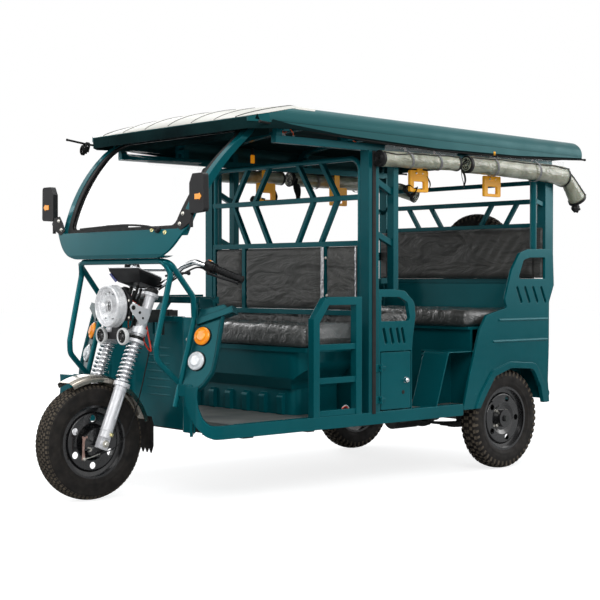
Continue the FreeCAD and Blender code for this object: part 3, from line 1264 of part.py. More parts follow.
def build():
    save("chassis_frame", *chassis_frame())
    save("cross_members", *cross_members())
    save("side_sills", *[sill.fuse(band) for sill, band in zip(side_sills(), corner_bands())])
    save("floor_pan", floor_pan())
    save("rear_axle", rear_axle())
    front_tyre, front_rim = front_wheel()
    save("front_tyre", front_tyre)
    save("front_rim", front_rim)
    for side, name in ((1, "left"), (-1, "right")):
        one_tyre, one_rim = rear_wheel(side)
        save("rear_tyre_" + name, one_tyre)
        save("rear_rim_" + name, one_rim)
    save("fork_lower", fork_lower())
    save("fork_upper", fork_upper())
    save("fork_springs", *fork_springs())
    bars, inner, outer = handlebar()
    save("handlebar", bars)
    save("handlebar_grips", *grips(inner, outer))
    save("headlamp", headlamp())
    save("lamp_shroud", lamp_shroud(), instrument_box(bars))
    save("fog_lamps", *fog_lamps())
    save("mudguard", mudguard())
    save("mud_flap", mud_flap())
    save("brake_gear", brake_gear())
    save("front_apron", front_apron())
    save("front_wings", front_wings())
    amber, clear = side_lamps()
    save("indicator_lamps", *amber)
    save("position_lamps", *clear)
    save("crash_guard", crash_guard())
    save("windscreen", windscreen())
    save("screen_seal", screen_seal())
    save("screen_pillars", screen_pillars())
    save("cowl", cowl())
    save("mirrors", *mirrors())
    save("cabin_frame", *cabin_frame())
    save("roof_bows", *roof_bows())
    save("partition_grille", partition_grille())
    save("partition_pads", *partition_pads())
    save("rear_grille", rear_grille())
    save("rear_backrest", plan_plate([(TAIL + 36, -530, 12), (TAIL + 90, -530, 20), (TAIL + 90, 530, 20),
                                      (TAIL + 36, 530, 12)], 952 + NEAR_FIT, 1217 - NEAR_FIT))
    save("driver_seat_base", driver_seat_base())
    save("driver_cushion", cushion(PARTITION + 26, DRIVER_SEAT_FRONT + 34, -534, 534,
                                   SEAT_BASE_TOP + NEAR_FIT, DRIVER_CUSHION_TOP))
    left, right = bench_side_panels()
    save("bench_side_panels", left, right)
    save("battery_door", battery_door())
    save("bench_base", bench_base())
    save("bench_cushion", cushion(640, PARTITION - 20, -545, 545, BENCH_TOP + NEAR_FIT, CUSHION_TOP))
    save("ladder_guards", *ladder_guards())
    save("rear_seat_base", fuse([rear_seat_base()] + wheel_boxes()))
    save("rear_cushion", cushion(TAIL + 92, REAR_SEAT_FRONT + 40, -560, 560, BENCH_TOP + NEAR_FIT, CUSHION_TOP))
    quarter = quarter_panels()
    save("quarter_panel_left", quarter)
    save("quarter_panel_right", mirrored(quarter))
    save("tail_panel", tail_panel())
    save("spare_carrier", spare_carrier())
    save("tail_lamps", *tail_lamps())
    save("roof", roof())
    save("roof_rods", *roof_rods())
    save("curtain_rolls", *curtain_rolls())
    save("hand_grips", *hand_grips())
    spare_tyre, spare_rim = spare_wheel()
    save("spare_tyre", spare_tyre)
    save("spare_rim", spare_rim)
    save("foot_pedal", foot_pedal())


build()
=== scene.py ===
"""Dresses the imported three-wheeled passenger vehicle for rendering."""
import math

import bmesh
import bpy
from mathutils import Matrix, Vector, noise
from mathutils.bvhtree import BVHTree


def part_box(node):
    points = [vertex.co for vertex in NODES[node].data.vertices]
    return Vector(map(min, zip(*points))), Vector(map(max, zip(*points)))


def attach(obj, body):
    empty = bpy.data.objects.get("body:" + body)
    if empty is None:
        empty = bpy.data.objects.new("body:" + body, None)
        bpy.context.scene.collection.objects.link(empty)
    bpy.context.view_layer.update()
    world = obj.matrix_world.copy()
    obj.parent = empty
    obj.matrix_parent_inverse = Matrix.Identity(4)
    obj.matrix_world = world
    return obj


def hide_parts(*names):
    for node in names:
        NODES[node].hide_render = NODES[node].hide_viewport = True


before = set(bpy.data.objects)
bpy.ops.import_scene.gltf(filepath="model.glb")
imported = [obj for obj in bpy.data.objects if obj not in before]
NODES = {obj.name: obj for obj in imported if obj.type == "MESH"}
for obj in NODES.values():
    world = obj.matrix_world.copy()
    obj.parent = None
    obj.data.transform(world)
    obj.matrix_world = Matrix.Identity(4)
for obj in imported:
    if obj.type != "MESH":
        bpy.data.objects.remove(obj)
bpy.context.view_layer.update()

REAR_AXLE = 890.0
WHEELBASE = 2085.0
RAKE = math.radians(22.0)
HUB_HEIGHT = 250
REAR_WHEEL_Y = 530
SPARE_AT = (-445, 0, 1060)
ROD_Y, ROD_DROP = 645, 5.3
SIDES = ((1, "left"), (-1, "right"))


def P(x, y, z):
    """Point in metres from millimetres measured forward of the rear axle, left and up."""
    return Vector(((x - REAR_AXLE) / 1000, y / 1000, z / 1000))


def placed(name, data):
    """New object with this data, in the scene."""
    obj = bpy.data.objects.new(name, data)
    bpy.context.scene.collection.objects.link(obj)
    return obj


# Materials

class Mat:
    """A procedural material on one Principled shader."""

    def __init__(self, name, color, rough=0.5, metal=0.0, coat=(), specular=0.5, **sockets):
        self.mat = bpy.data.materials.new(name)
        self.mat.use_nodes = True
        self.tree = self.mat.node_tree
        self.bsdf = self.tree.nodes["Principled BSDF"]
        self.bsdf.inputs["Base Color"].default_value = (*color, 1)
        self.bsdf.inputs["Roughness"].default_value = rough
        self.bsdf.inputs["Metallic"].default_value = metal
        self.bsdf.inputs["Specular IOR Level"].default_value = specular
        for key, value in zip(("Coat Weight", "Coat Roughness"), coat):
            self.bsdf.inputs[key].default_value = value
        for key, value in sockets.items():
            self.bsdf.inputs[key.replace("_", " ")].default_value = value
        self.normal = None
        self.coords = self.node("ShaderNodeTexCoord")

    def node(self, kind, **values):
        """New node whose inputs or settings get the given values."""
        made = self.tree.nodes.new(kind)
        for key, value in values.items():
            if key in made.inputs:
                made.inputs[key].default_value = value
            else:
                setattr(made, key, value)
        return made

    def link(self, a, b):
        self.tree.links.new(a, b)

    def place(self, scale=(1, 1, 1)):
        mapping = self.node("ShaderNodeMapping", Scale=scale)
        self.link(self.coords.outputs["Object"], mapping.inputs["Vector"])
        return mapping.outputs["Vector"]

    def noise(self, scale, detail=4.0, stretch=(1, 1, 1), distort=0.0):
        tex = self.node("ShaderNodeTexNoise", Scale=scale, Detail=detail, Distortion=distort)
        self.link(self.place(stretch), tex.inputs["Vector"])
        return tex.outputs["Fac"]

    def waves(self, scale, direction="X", distort=0.0):
        tex = self.node("ShaderNodeTexWave", bands_direction=direction, Scale=scale, Distortion=distort)
        self.link(self.place(), tex.inputs["Vector"])
        return tex.outputs["Fac"]

    def cells(self, scale):
        tex = self.node("ShaderNodeTexVoronoi", Scale=scale)
        self.link(self.place(), tex.inputs["Vector"])
        return tex.outputs["Distance"]

    def texture(self, value):
        """Output of the texture that a tuple describes: noise, unless the tuple starts with a name."""
        if not isinstance(value, tuple):
            return value
        if isinstance(value[0], str):
            return getattr(self, value[0])(*value[1:])
        return self.noise(*value)

    def ramp(self, value, *stops):
        ramp = self.node("ShaderNodeValToRGB")
        ramp.color_ramp.elements[0].position = stops[0][0]
        ramp.color_ramp.elements[1].position = stops[-1][0]
        for stop in stops[1:-1]:
            ramp.color_ramp.elements.new(stop[0])
        for element, (_, color) in zip(ramp.color_ramp.elements, stops):
            element.color = (*color, 1) if hasattr(color, "__len__") else (color,) * 3 + (1,)
        self.link(self.texture(value), ramp.inputs["Fac"])
        return ramp.outputs["Color"]

    def tint(self, value, *stops):
        self.link(self.ramp(value, *stops), self.bsdf.inputs["Base Color"])
        return self

    def gloss(self, value, *stops):
        self.link(self.ramp(value, *stops), self.bsdf.inputs["Roughness"])
        return self

    def bump(self, value, strength=0.3, depth=0.002, coat=False):
        bump = self.node("ShaderNodeBump", Strength=strength, Distance=depth)
        self.link(self.texture(value), bump.inputs["Height"])
        if self.normal is not None:
            self.link(self.normal, bump.inputs["Normal"])
        self.normal = bump.outputs["Normal"]
        self.link(self.normal, self.bsdf.inputs["Normal"])
        if coat:
            self.link(self.normal, self.bsdf.inputs["Coat Normal"])
        return self

    def soft_edges(self, radius):
        """Rounds the look of sharp edges; call it before the bumps."""
        self.normal = self.node("ShaderNodeBevel", samples=6, Radius=radius).outputs["Normal"]
        self.link(self.normal, self.bsdf.inputs["Normal"])
        return self

    def math(self, kind, first, second):
        """Result of one sum on two values or outputs."""
        sum_node = self.node("ShaderNodeMath", operation=kind)
        for value, place in ((first, sum_node.inputs[0]), (second, sum_node.inputs[1])):
            if isinstance(value, (int, float)):
                place.default_value = value
            else:
                self.link(value, place)
        return sum_node.outputs[0]

    def split(self, output):
        """The three parts of an object coordinate or of the normal."""
        parts = self.node("ShaderNodeSeparateXYZ")
        self.link(self.coords.outputs[output], parts.inputs[0])
        return parts.outputs

    def mix(self, share, first, second):
        """Colour between first and second."""
        mixer = self.node("ShaderNodeMixRGB")
        self.link(share, mixer.inputs[0])
        for value, place in ((first, mixer.inputs[1]), (second, mixer.inputs[2])):
            if isinstance(value, tuple):
                place.default_value = (*value, 1)
            else:
                self.link(value, place)
        return mixer.outputs[0]


def make_materials():
    looks = {
        "paint": Mat("paint_teal", (0.002, 0.09, 0.105), 0.2, coat=(0.04, 0.04),
                Specular_Tint=(0.1, 0.75, 0.85, 1)).soft_edges(0.0035)
            .tint((3.0, 3), (0.3, (0.0012, 0.081, 0.095)), (0.7, (0.0025, 0.099, 0.116)))
            .gloss((40, 3), (0.3, 0.16), (0.8, 0.28)).bump((7, 3), 0.1, 0.003),
        # The front wings take a darker copy of the body teal: painted shade, not a different paint.
        "wing": Mat("paint_teal_shaded_wing", (0.001, 0.034, 0.04), 0.18, coat=(0.03, 0.04), specular=0.3,
                Specular_Tint=(0.08, 0.7, 0.8, 1)).soft_edges(0.006)
            .tint((4.0, 3), (0.3, (0.0006, 0.03, 0.036)), (0.7, (0.0014, 0.039, 0.046)))
            .gloss((40, 3), (0.3, 0.14), (0.8, 0.26)).bump((7, 3), 0.1, 0.003),
        "frame": Mat("paint_frame", (0.002, 0.07, 0.083), 0.26, coat=(0.05, 0.08),
                Specular_Tint=(0.1, 0.75, 0.85, 1)).soft_edges(0.003)
            .tint((5, 4), (0.3, (0.001, 0.06, 0.072)), (0.75, (0.003, 0.08, 0.094)))
            .bump((240, 3), 0.15, 0.0004),
        "chassis": Mat("paint_chassis", (0.012, 0.016, 0.018), 0.5)
            .tint((14, 6), (0.35, (0.008, 0.011, 0.012)), (0.75, (0.03, 0.032, 0.03)))
            .gloss((20, 5), (0.3, 0.4), (0.75, 0.75)).bump((300, 3), 0.3, 0.0006),
        "rubber": Mat("tyre_rubber", (0.014, 0.012, 0.011), 0.72, specular=0.25)
            .tint((24, 6), (0.35, (0.008, 0.007, 0.0065)), (0.75, (0.026, 0.022, 0.019)))
            .gloss((30, 5), (0.3, 0.6), (0.75, 0.85)).bump((700, 3), 0.35, 0.0005),
        "tread": Mat("tyre_tread", (0.06, 0.048, 0.036), 0.85, specular=0.2)
            .tint((45, 6), (0.3, (0.05, 0.042, 0.032)), (0.72, (0.15, 0.122, 0.092)))
            .bump((500, 4), 0.5, 0.0008),
        "trim": Mat("trim_rubber", (0.01, 0.01, 0.01), 0.55, specular=0.25).bump((500, 3), 0.25, 0.0004)
            .gloss((25, 4), (0.3, 0.45), (0.75, 0.7)),
        "rim": Mat("rim_black", (0.009, 0.009, 0.01), 0.2, coat=(0.7, 0.08))
            .gloss((30, 5), (0.35, 0.16), (0.8, 0.42)).bump((380, 3), 0.15, 0.0004),
        "plastic": Mat("plastic_black", (0.008, 0.008, 0.009), 0.4, specular=0.3).soft_edges(0.003)
            .bump((1200, 2), 0.25, 0.0002).gloss((16, 4), (0.3, 0.32), (0.75, 0.5)),
        "chrome": Mat("chrome", (0.82, 0.83, 0.85), 0.1, 1.0).gloss((60, 4), (0.3, 0.06), (0.8, 0.2))
            .bump((500, 2), 0.05, 0.0002),
        "silver": Mat("silver_cast", (0.8, 0.8, 0.82), 0.34, 0.3)
            .tint((18, 5), (0.3, (0.72, 0.72, 0.74)), (0.75, (0.88, 0.88, 0.9)))
            .gloss((50, 4), (0.3, 0.28), (0.75, 0.46)).bump((420, 3), 0.2, 0.0004),
        "steel": Mat("steel_bright", (0.33, 0.305, 0.265), 0.24, 1.0)
            .gloss((14, 6), (0.3, 0.16), (0.75, 0.44)).bump((14, 4, (1, 1, 1), 0.6), 0.35, 0.004),
        "zinc": Mat("zinc_bolt", (0.66, 0.64, 0.58), 0.3, 1.0).gloss((90, 3), (0.3, 0.2), (0.75, 0.45)),
        "mat": Mat("floor_mat", (0.09, 0.108, 0.108), 0.75)
            .tint((7, 6), (0.3, (0.065, 0.08, 0.08)), (0.75, (0.15, 0.155, 0.145)))
            .bump(("waves", 60, "X", 0.4), 0.3, 0.0008).bump((180, 4), 0.4, 0.001),
        "vinyl": Mat("vinyl_seat", (0.05, 0.05, 0.047), 0.42, coat=(0.9, 0.1))
            .tint((5, 6), (0.3, (0.035, 0.036, 0.034)), (0.75, (0.075, 0.076, 0.072)))
            .bump((26, 6, (1, 1, 1), 1.6), 0.75, 0.009, True).bump((110, 4), 0.35, 0.0012, True),
        "cloth": Mat("backrest_cloth", (0.05, 0.048, 0.043), 0.55, Sheen_Weight=0.2, coat=(0.15, 0.15))
            .tint((4, 5), (0.3, (0.04, 0.04, 0.037)), (0.75, (0.062, 0.061, 0.056)))
            .bump((7, 5, (1, 0.5, 1.6), 1.2), 0.9, 0.03, True).bump((900, 2), 0.3, 0.0003),
        "film": Mat("clear_film", (0.95, 0.96, 0.96), 0.06, Alpha=0.13, coat=(0.8, 0.03))
            .bump((30, 5, (1, 1, 1), 1.2), 0.5, 0.006, True).gloss((30, 4), (0.3, 0.04), (0.75, 0.18)),
        "pvc": Mat("curtain_sheet", (0.3, 0.31, 0.22), 0.3, coat=(0.8, 0.12), Subsurface_Weight=0.15)
            .tint((11, 5, (1, 1, 1), 0.8), (0.3, (0.17, 0.175, 0.12)), (0.5, (0.3, 0.31, 0.22)),
                (0.78, (0.5, 0.5, 0.4))).bump((18, 5, (1, 2.5, 2.5), 1.0), 0.7, 0.008, True),
        "edge": Mat("curtain_edge", (0.008, 0.008, 0.008), 0.5, specular=0.25).bump((80, 4), 0.5, 0.002)
            .gloss((40, 4), (0.3, 0.35), (0.75, 0.6)),
        "webbing": Mat("strap_grey", (0.2, 0.2, 0.2), 0.8).bump(("waves", 420, "Z"), 0.4, 0.0006)
            .tint((60, 3), (0.3, (0.16, 0.16, 0.165)), (0.75, (0.27, 0.27, 0.275))),
        # The emission is a painted glow that lifts the hand grips and the orange block out of the roof's
        # shade; they hold no lamp.
        "orange": Mat("grip_orange_painted_glow", (1.0, 0.45, 0.012), 0.4, coat=(0.1, 0.2), specular=0.3,
                Emission_Color=(1, 0.4, 0.01, 1), Emission_Strength=0.1)
            .tint((30, 4), (0.3, (0.98, 0.42, 0.01)), (0.75, (1.0, 0.5, 0.02))).soft_edges(0.004)
            .bump((500, 3), 0.2, 0.0004),
        "amber": Mat("lens_amber", (1.0, 0.33, 0.006), 0.2, coat=(0.35, 0.04), specular=0.3,
                Emission_Color=(1, 0.3, 0.005, 1), Emission_Strength=0.16)
            .tint((40, 3), (0.3, (0.95, 0.24, 0.004)), (0.75, (1.0, 0.42, 0.01))),
        "clear": Mat("lens_clear", (0.92, 0.93, 0.94), 0.15, coat=(0.8, 0.03))
            .tint((60, 3), (0.3, (0.72, 0.75, 0.77)), (0.7, (0.92, 0.93, 0.94))),
        "red": Mat("lens_red", (0.6, 0.01, 0.008), 0.12, coat=(1.0, 0.03), Transmission_Weight=0.15)
            .tint((70, 3), (0.3, (0.45, 0.006, 0.005)), (0.75, (0.7, 0.02, 0.012))),
        "glass": Mat("screen_glass", (0.95, 0.98, 0.98), 0.02, Transmission_Weight=1.0, IOR=1.01,
                Alpha=0.05, specular=0.1).gloss((3, 3), (0.3, 0.01), (0.75, 0.03)),
        "lamp_glass": Mat("lamp_glass", (0.96, 0.97, 0.98), 0.03, Transmission_Weight=1.0, IOR=1.2,
                Alpha=0.3).gloss((6, 3), (0.3, 0.02), (0.75, 0.05)),
        "wire": Mat("wire_orange", (0.8, 0.1, 0.012), 0.45).gloss((60, 3), (0.3, 0.35), (0.75, 0.55)),
        "white": Mat("plastic_white", (0.8, 0.8, 0.79), 0.4).gloss((60, 3), (0.3, 0.3), (0.75, 0.5)),
        "copper": Mat("copper_lever", (0.42, 0.25, 0.2), 0.45, 0.7)
            .tint((60, 5), (0.3, (0.3, 0.18, 0.15)), (0.75, (0.55, 0.38, 0.33))).bump((300, 4), 0.4, 0.001),
        "mirror": Mat("mirror_glass", (0.86, 0.88, 0.9), 0.03, 1.0)
            .gloss((8, 3), (0.3, 0.02), (0.75, 0.06)),
        "display": Mat("display_face", (0.004, 0.005, 0.008), 0.08, coat=(1.0, 0.02))
            .tint((9, 3), (0.3, (0.003, 0.004, 0.006)), (0.75, (0.008, 0.01, 0.014))),
        "bezel": Mat("bezel_bright", (0.88, 0.88, 0.89), 0.24, 0.25)
            .gloss((40, 4), (0.3, 0.2), (0.75, 0.32)).bump((120, 3), 0.08, 0.0006),
        "lining": Mat("roof_lining_cloth", (0.003, 0.013, 0.014), 0.8, specular=0.05)
            .tint((3, 6, (0.3, 1, 1)), (0.35, (0.002, 0.009, 0.01)), (0.75, (0.007, 0.032, 0.033)))
            .bump((9, 5, (0.15, 1, 1), 1.0), 0.7, 0.012).bump((300, 3), 0.3, 0.0006),
        "red_wire": Mat("wire_red", (0.75, 0.04, 0.012), 0.4).gloss((60, 3), (0.3, 0.3), (0.75, 0.5)),
        "blue": Mat("tape_blue", (0.02, 0.04, 0.3), 0.3).bump((120, 3), 0.4, 0.001),
        "brass": Mat("brass_bolt", (0.75, 0.68, 0.36), 0.28, 1.0).gloss((90, 3), (0.3, 0.2), (0.75, 0.42)),
        "belt": Mat("belt_black", (0.006, 0.007, 0.007), 0.6, specular=0.15)
            .bump(("waves", 500, "Z"), 0.4, 0.0005)
            .tint((50, 4), (0.3, (0.004, 0.005, 0.005)), (0.75, (0.012, 0.013, 0.013))),
        # Opaque silvery colour with light and dark streaks: painted reflection, standing in for the light
        # caught by the crumpled clear film.
        "film_sheen": Mat("film_edge", (0.7, 0.69, 0.7), 0.25, 0.3, coat=(1.0, 0.06))
            .tint((90, 5, (1, 1, 0.5)), (0.35, (0.35, 0.34, 0.36)), (0.65, (0.9, 0.9, 0.92)))
            .bump((70, 5), 0.8, 0.006, True),
        "cover": Mat("roof_cover", (0.62, 0.61, 0.55), 0.5, coat=(0.15, 0.2))
            .tint((2.2, 5, (0.5, 1, 1)), (0.3, (0.4, 0.4, 0.36)), (0.7, (0.62, 0.61, 0.56)))
            .bump((5, 4, (0.3, 1, 1)), 0.4, 0.006).bump(("waves", 90, "X"), 0.12, 0.0006),
        # The emission is a painted glow that stands in for light returned by the amber reflectors. The
        # switch button and the cabin lamp box share it.
        "arrow": Mat("reflector_amber_painted_glow", (1.0, 0.42, 0.02), 0.2, coat=(1.0,),
                Emission_Color=(1, 0.35, 0.01, 1), Emission_Strength=0.35)
            .tint(("cells", 500), (0.1, (1.0, 0.5, 0.04)), (0.5, (0.9, 0.3, 0.01))),
    }
    roof = Mat("paint_roof", (0.006, 0.06, 0.065), 0.34, coat=(0.04, 0.12),
        Specular_Tint=(0.12, 0.75, 0.8, 1))
    facing, place = roof.split("Normal"), roof.split("Object")
    cloth = roof.ramp(roof.noise(2.0, 5, (0.3, 1, 1)), (0.3, (0.004, 0.05, 0.054)),
        (0.75, (0.01, 0.074, 0.079)))
    slope = roof.ramp(facing[0], (0.03, 0.0), (0.17, 1.0))
    slope = roof.math("MULTIPLY", slope, roof.math("GREATER_THAN", facing[2], 0.8))
    cloth = roof.mix(slope, cloth, (0.62, 0.61, 0.56))
    within = roof.math("LESS_THAN", roof.math("MULTIPLY", place[1], facing[1]), -0.01)
    below = roof.math("LESS_THAN", facing[2], -0.1)
    cloth = roof.mix(roof.math("MAXIMUM", within, below), cloth, (0.004, 0.017, 0.018))
    roof.link(cloth, roof.bsdf.inputs["Base Color"])
    roof.bump(roof.noise(6, 4, (0.12, 1, 1)), 0.35, 0.004)
    roof.bump(roof.noise(60, 4), 0.12, 0.0006)
    roof.gloss(roof.noise(9, 5), (0.3, 0.3), (0.8, 0.5))
    looks["roof"] = roof
    return {key: look.mat for key, look in looks.items()}


M = make_materials()


PAINTED = {
    "wing": "front_wings",
    "paint": "side_sills front_apron cowl driver_seat_base bench_side_panels battery_door "
             "ladder_guards quarter_panel_left quarter_panel_right tail_panel rear_seat_base "
             "bench_base screen_pillars crash_guard",
    "frame": "cabin_frame roof_bows partition_grille rear_grille spare_carrier",
    "roof": "roof",
    "chassis": "chassis_frame cross_members rear_axle",
    "mat": "floor_pan",
    "rubber": "front_tyre rear_tyre_left rear_tyre_right spare_tyre mud_flap",
    "rim": "front_rim rear_rim_left rear_rim_right spare_rim",
    "silver": "fork_lower fork_upper",
    "chrome": "fork_springs handlebar",
    "steel": "mudguard",
    "plastic": "handlebar_grips lamp_shroud foot_pedal mirrors",
    "trim": "roof_rods screen_seal",
    "copper": "brake_gear",
    "white": "headlamp fog_lamps",
    "amber": "indicator_lamps",
    "clear": "position_lamps",
    "red": "tail_lamps",
    "glass": "windscreen",
    "vinyl": "driver_cushion bench_cushion rear_cushion",
    "cloth": "partition_pads rear_backrest",
    "pvc": "curtain_rolls",
    "orange": "hand_grips",
}
for key, names in PAINTED.items():
    for name in names.split():
        slots = NODES[name].data.materials
        slots.clear()
        slots.append(M[key])


# Stage

def make_stage():
    scene = bpy.context.scene
    cam = placed("camera", bpy.data.cameras.new("camera"))
    cam.data.lens = 80.74
    cam.data.sensor_width = 36
    cam.data.sensor_fit = "HORIZONTAL"
    cam.location = (4.368, 4.919, 0.946)
    cam.rotation_euler = (math.radians(90 - 0.865), 0, math.radians(228.27 - 90))
    scene.camera = cam
    cam.data.clip_end = 100

    def lamp(name, where, size, power, aim=(0.2, 0, 0.8), size_y=None):
        light = bpy.data.lights.new(name, "AREA")
        light.energy = power
        light.size = size
        if size_y:
            light.shape = "RECTANGLE"
            light.size_y = size_y
        obj = placed(name, light)
        obj.location = where
        obj.rotation_euler = (Vector(aim) - Vector(where)).to_track_quat("-Z", "Y").to_euler()

    lamp("key", (3.4, 5.4, 4.6), 3.2, 190)
    lamp("top", (0.0, 0.3, 5.6), 4.6, 170, (0, 0, 0), 3.0)
    lamp("front_fill", (6.4, -1.4, 2.4), 2.6, 80)
    lamp("rear_fill", (-5.4, 3.2, 2.8), 3.0, 80)
    lamp("far_fill", (-1.5, -5.6, 3.0), 3.2, 80)

    def seen_by(tree, *rays):
        """Output that is 1 for rays of these kinds."""
        path = tree.nodes.new("ShaderNodeLightPath")
        share = path.outputs[rays[0]]
        for ray in rays[1:]:
            most = tree.nodes.new("ShaderNodeMath")
            most.operation = "MAXIMUM"
            tree.links.new(share, most.inputs[0])
            tree.links.new(path.outputs[ray], most.inputs[1])
            share = most.outputs[0]
        return share

    def mixed(tree, share, first, second, target):
        mix = tree.nodes.new("ShaderNodeMixShader")
        for index, output in enumerate((share, first, second)):
            tree.links.new(output, mix.inputs[index])
        tree.links.new(mix.outputs[0], target.inputs["Surface"])

    def glow(tree, kind, color, strength):
        made = tree.nodes.new(kind)
        made.inputs["Color"].default_value = (*color, 1)
        made.inputs["Strength"].default_value = strength
        return made.outputs[0]

    scene.world = bpy.data.worlds.new("studio")
    scene.world.use_nodes = True
    tree = scene.world.node_tree
    tree.nodes.clear()
    soft = glow(tree, "ShaderNodeBackground", (0.9, 0.95, 1.0), 0.35)
    white = glow(tree, "ShaderNodeBackground", (1, 1, 1), 1.0)
    share = seen_by(tree, "Is Camera Ray", "Is Transmission Ray", "Is Glossy Ray")
    mixed(tree, share, soft, white, tree.nodes.new("ShaderNodeOutputWorld"))

    bpy.ops.mesh.primitive_plane_add(size=60, location=(0, 0, -0.001))
    floor = bpy.context.object
    floor.name = "floor"
    ground = Mat("floor_pale", (0.5, 0.5, 0.5), 0.9, specular=0.1)
    tree = ground.tree
    lit = tree.nodes.new("ShaderNodeAddShader")
    ground.link(ground.bsdf.outputs[0], lit.inputs[0])
    ground.link(glow(tree, "ShaderNodeEmission", (1, 1, 1), 0.8), lit.inputs[1])
    mixed(tree, seen_by(tree, "Is Camera Ray", "Is Transmission Ray"), ground.bsdf.outputs[0],
        lit.outputs[0], tree.nodes["Material Output"])
    floor.data.materials.append(ground.mat)
    scene.view_settings.view_transform = "Standard"


make_stage()


# Shape tools

def circle(count, extra=0):
    """Angles of count even steps, and extra ones past the start."""
    return [2 * math.pi * k / count for k in range(count + extra)]


def around(u, v, a):
    """Direction at angle a in the plane of u and v."""
    return u * math.cos(a) + v * math.sin(a)


class Piece:
    """Collects rings, tubes and turned shapes into one mesh with several materials.

    Points are in metres; radii, widths, thicknesses and profiles are in millimetres.
    """

    def __init__(self):
        self.verts = []
        self.faces = []
        self.slots = []
        self.keys = []

    def add(self, verts, faces, key):
        if key not in self.keys:
            self.keys.append(key)
        base = len(self.verts)
        self.verts += [tuple(v) for v in verts]
        self.faces += [[base + i for i in face] for face in faces]
        self.slots += [self.keys.index(key)] * len(faces)
        return self

    def loft(self, rings, key, closed=True, caps=True):
        count = len(rings[0])
        verts = [p for ring in rings for p in ring]
        faces = []
        last = count if closed else count - 1
        for i in range(len(rings) - 1):
            for k in range(last):
                a, b = i * count + k, i * count + (k + 1) % count
                faces.append([a, b, b + count, a + count])
        if caps and closed:
            faces.append(list(range(count))[::-1])
            faces.append([len(verts) - count + k for k in range(count)])
        return self.add(verts, faces, key)

    def tube(self, points, radius, key, sides=10, caps=True):
        points = [Vector(p) for p in points]
        radii = radius if hasattr(radius, "__len__") else [radius] * len(points)
        rings = []
        side = None
        for i, p in enumerate(points):
            along = (points[min(i + 1, len(points) - 1)] - points[max(i - 1, 0)]).normalized()
            if side is None:
                side = along.orthogonal().normalized()
            side = (side - along * side.dot(along)).normalized()
            up = along.cross(side)
            rings.append([p + around(side, up, t) * radii[i] / 1000 for t in circle(sides)])
        return self.loft(rings, key, True, caps)

    def strap(self, points, wide, thick, key, across):
        """Flat band along points, wide in the direction across."""
        points = [Vector(p) for p in points]
        across = Vector(across).normalized()
        rings = []
        for i, p in enumerate(points):
            along = (points[min(i + 1, len(points) - 1)] - points[max(i - 1, 0)]).normalized()
            flat = (across - along * across.dot(along)).normalized()
            up = along.cross(flat).normalized()
            w, t = flat * wide / 2000, up * thick / 2000
            rings.append([p - w - t, p + w - t, p + w + t, p - w + t])
        return self.loft(rings, key)

    def turn(self, origin, axis, profile, key, sides=48):
        """Turned shape: profile holds (radius, distance along the axis)."""
        origin, axis = Vector(origin), Vector(axis).normalized()
        side = axis.orthogonal().normalized()
        up = axis.cross(side)
        rings = []
        for radius, along in profile:
            rings.append([origin + (axis * along + around(side, up, t) * radius) / 1000
                for t in circle(sides)])
        return self.loft(rings, key, True, False)

    def block(self, low, high, key, round_by=0.0):
        """Box between two corners, its edges cut at round_by."""
        x0, y0, z0 = low
        x1, y1, z1 = high
        c = round_by / 1000
        rings = []
        for z, inset in ((z0, c), (z0 + c, 0), (z1 - c, 0), (z1, c)):
            a, b, d, e = x0 + inset, x1 - inset, y0 + inset, y1 - inset
            ring = [(a + c, d, z), (b - c, d, z), (b, d + c, z), (b, e - c, z), (b - c, e, z),
                (a + c, e, z), (a, e - c, z), (a, d + c, z)]
            rings.append([Vector(p) for p in ring])
        return self.loft(rings, key)

    def grid(self, nu, nv, place, key):
        """Open sheet of nu by nv faces whose corners are place(u, v)."""
        rings = [[place(i / nu, j / nv) for j in range(nv + 1)] for i in range(nu + 1)]
        return self.loft(rings, key, False, False)

    def plate(self, outline, x0, x1, key, side=1):
        """Flat plate between x0 and x1 whose outline holds (y, z)."""
        return self.loft([[P(x, side * y, z) for y, z in outline] for x in (x0, x1)], key)

    def make(self, name, body, replaces=(), sharp=35, bevel=None):
        """Mesh object of what was added, on its body and in place of the CAD nodes it replaces."""
        data = bpy.data.meshes.new(name)
        data.from_pydata(self.verts, [], self.faces)
        data.polygons.foreach_set("material_index", self.slots)
        for key in self.keys:
            data.materials.append(M[key])
        work = bmesh.new()
        work.from_mesh(data)
        bmesh.ops.recalc_face_normals(work, faces=work.faces)
        work.to_mesh(data)
        work.free()
        obj = placed(name, data)
        if bevel:
            cutter = obj.modifiers.new("edges", "BEVEL")
            cutter.width = bevel
            cutter.segments = 2
            cutter.limit_method = "ANGLE"
            cutter.angle_limit = math.radians(40)
        data.polygons.foreach_set("use_smooth", [True] * len(data.polygons))
        data.set_sharp_from_angle(angle=math.radians(sharp))
        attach(obj, body)
        if replaces:
            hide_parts(*replaces)
        return obj


def curve(points, steps=6):
    """Points of a smooth line through the given points."""
    pts = [Vector(p) for p in points]
    ends = [pts[0] * 2 - pts[1]] + pts + [pts[-1] * 2 - pts[-2]]
    line = []
    for i in range(1, len(ends) - 2):
        a, b, c, d = ends[i - 1:i + 3]
        for k in range(steps):
            t = k / steps
            line.append(0.5 * (2 * b + (c - a) * t + (2 * a - 5 * b + 4 * c - d) * t ** 2
                + (3 * b - a - 3 * c + d) * t ** 3))
    line.append(pts[-1])
    return line


def mm(points):
    return [P(*p) for p in points]


def smooth(points, steps):
    return curve(mm(points), steps)


def wobble(p, scale, seed=0.0):
    return noise.noise(Vector(p) * scale + Vector((seed, seed * 1.7, seed * 0.6)))


def crease(p, scale, seed=0.0):
    """Thin ridges, as in crumpled film."""
    return 1 - abs(noise.noise(Vector(p) * scale + Vector((seed, seed * 2.1, seed)))) * 2


# Wheels

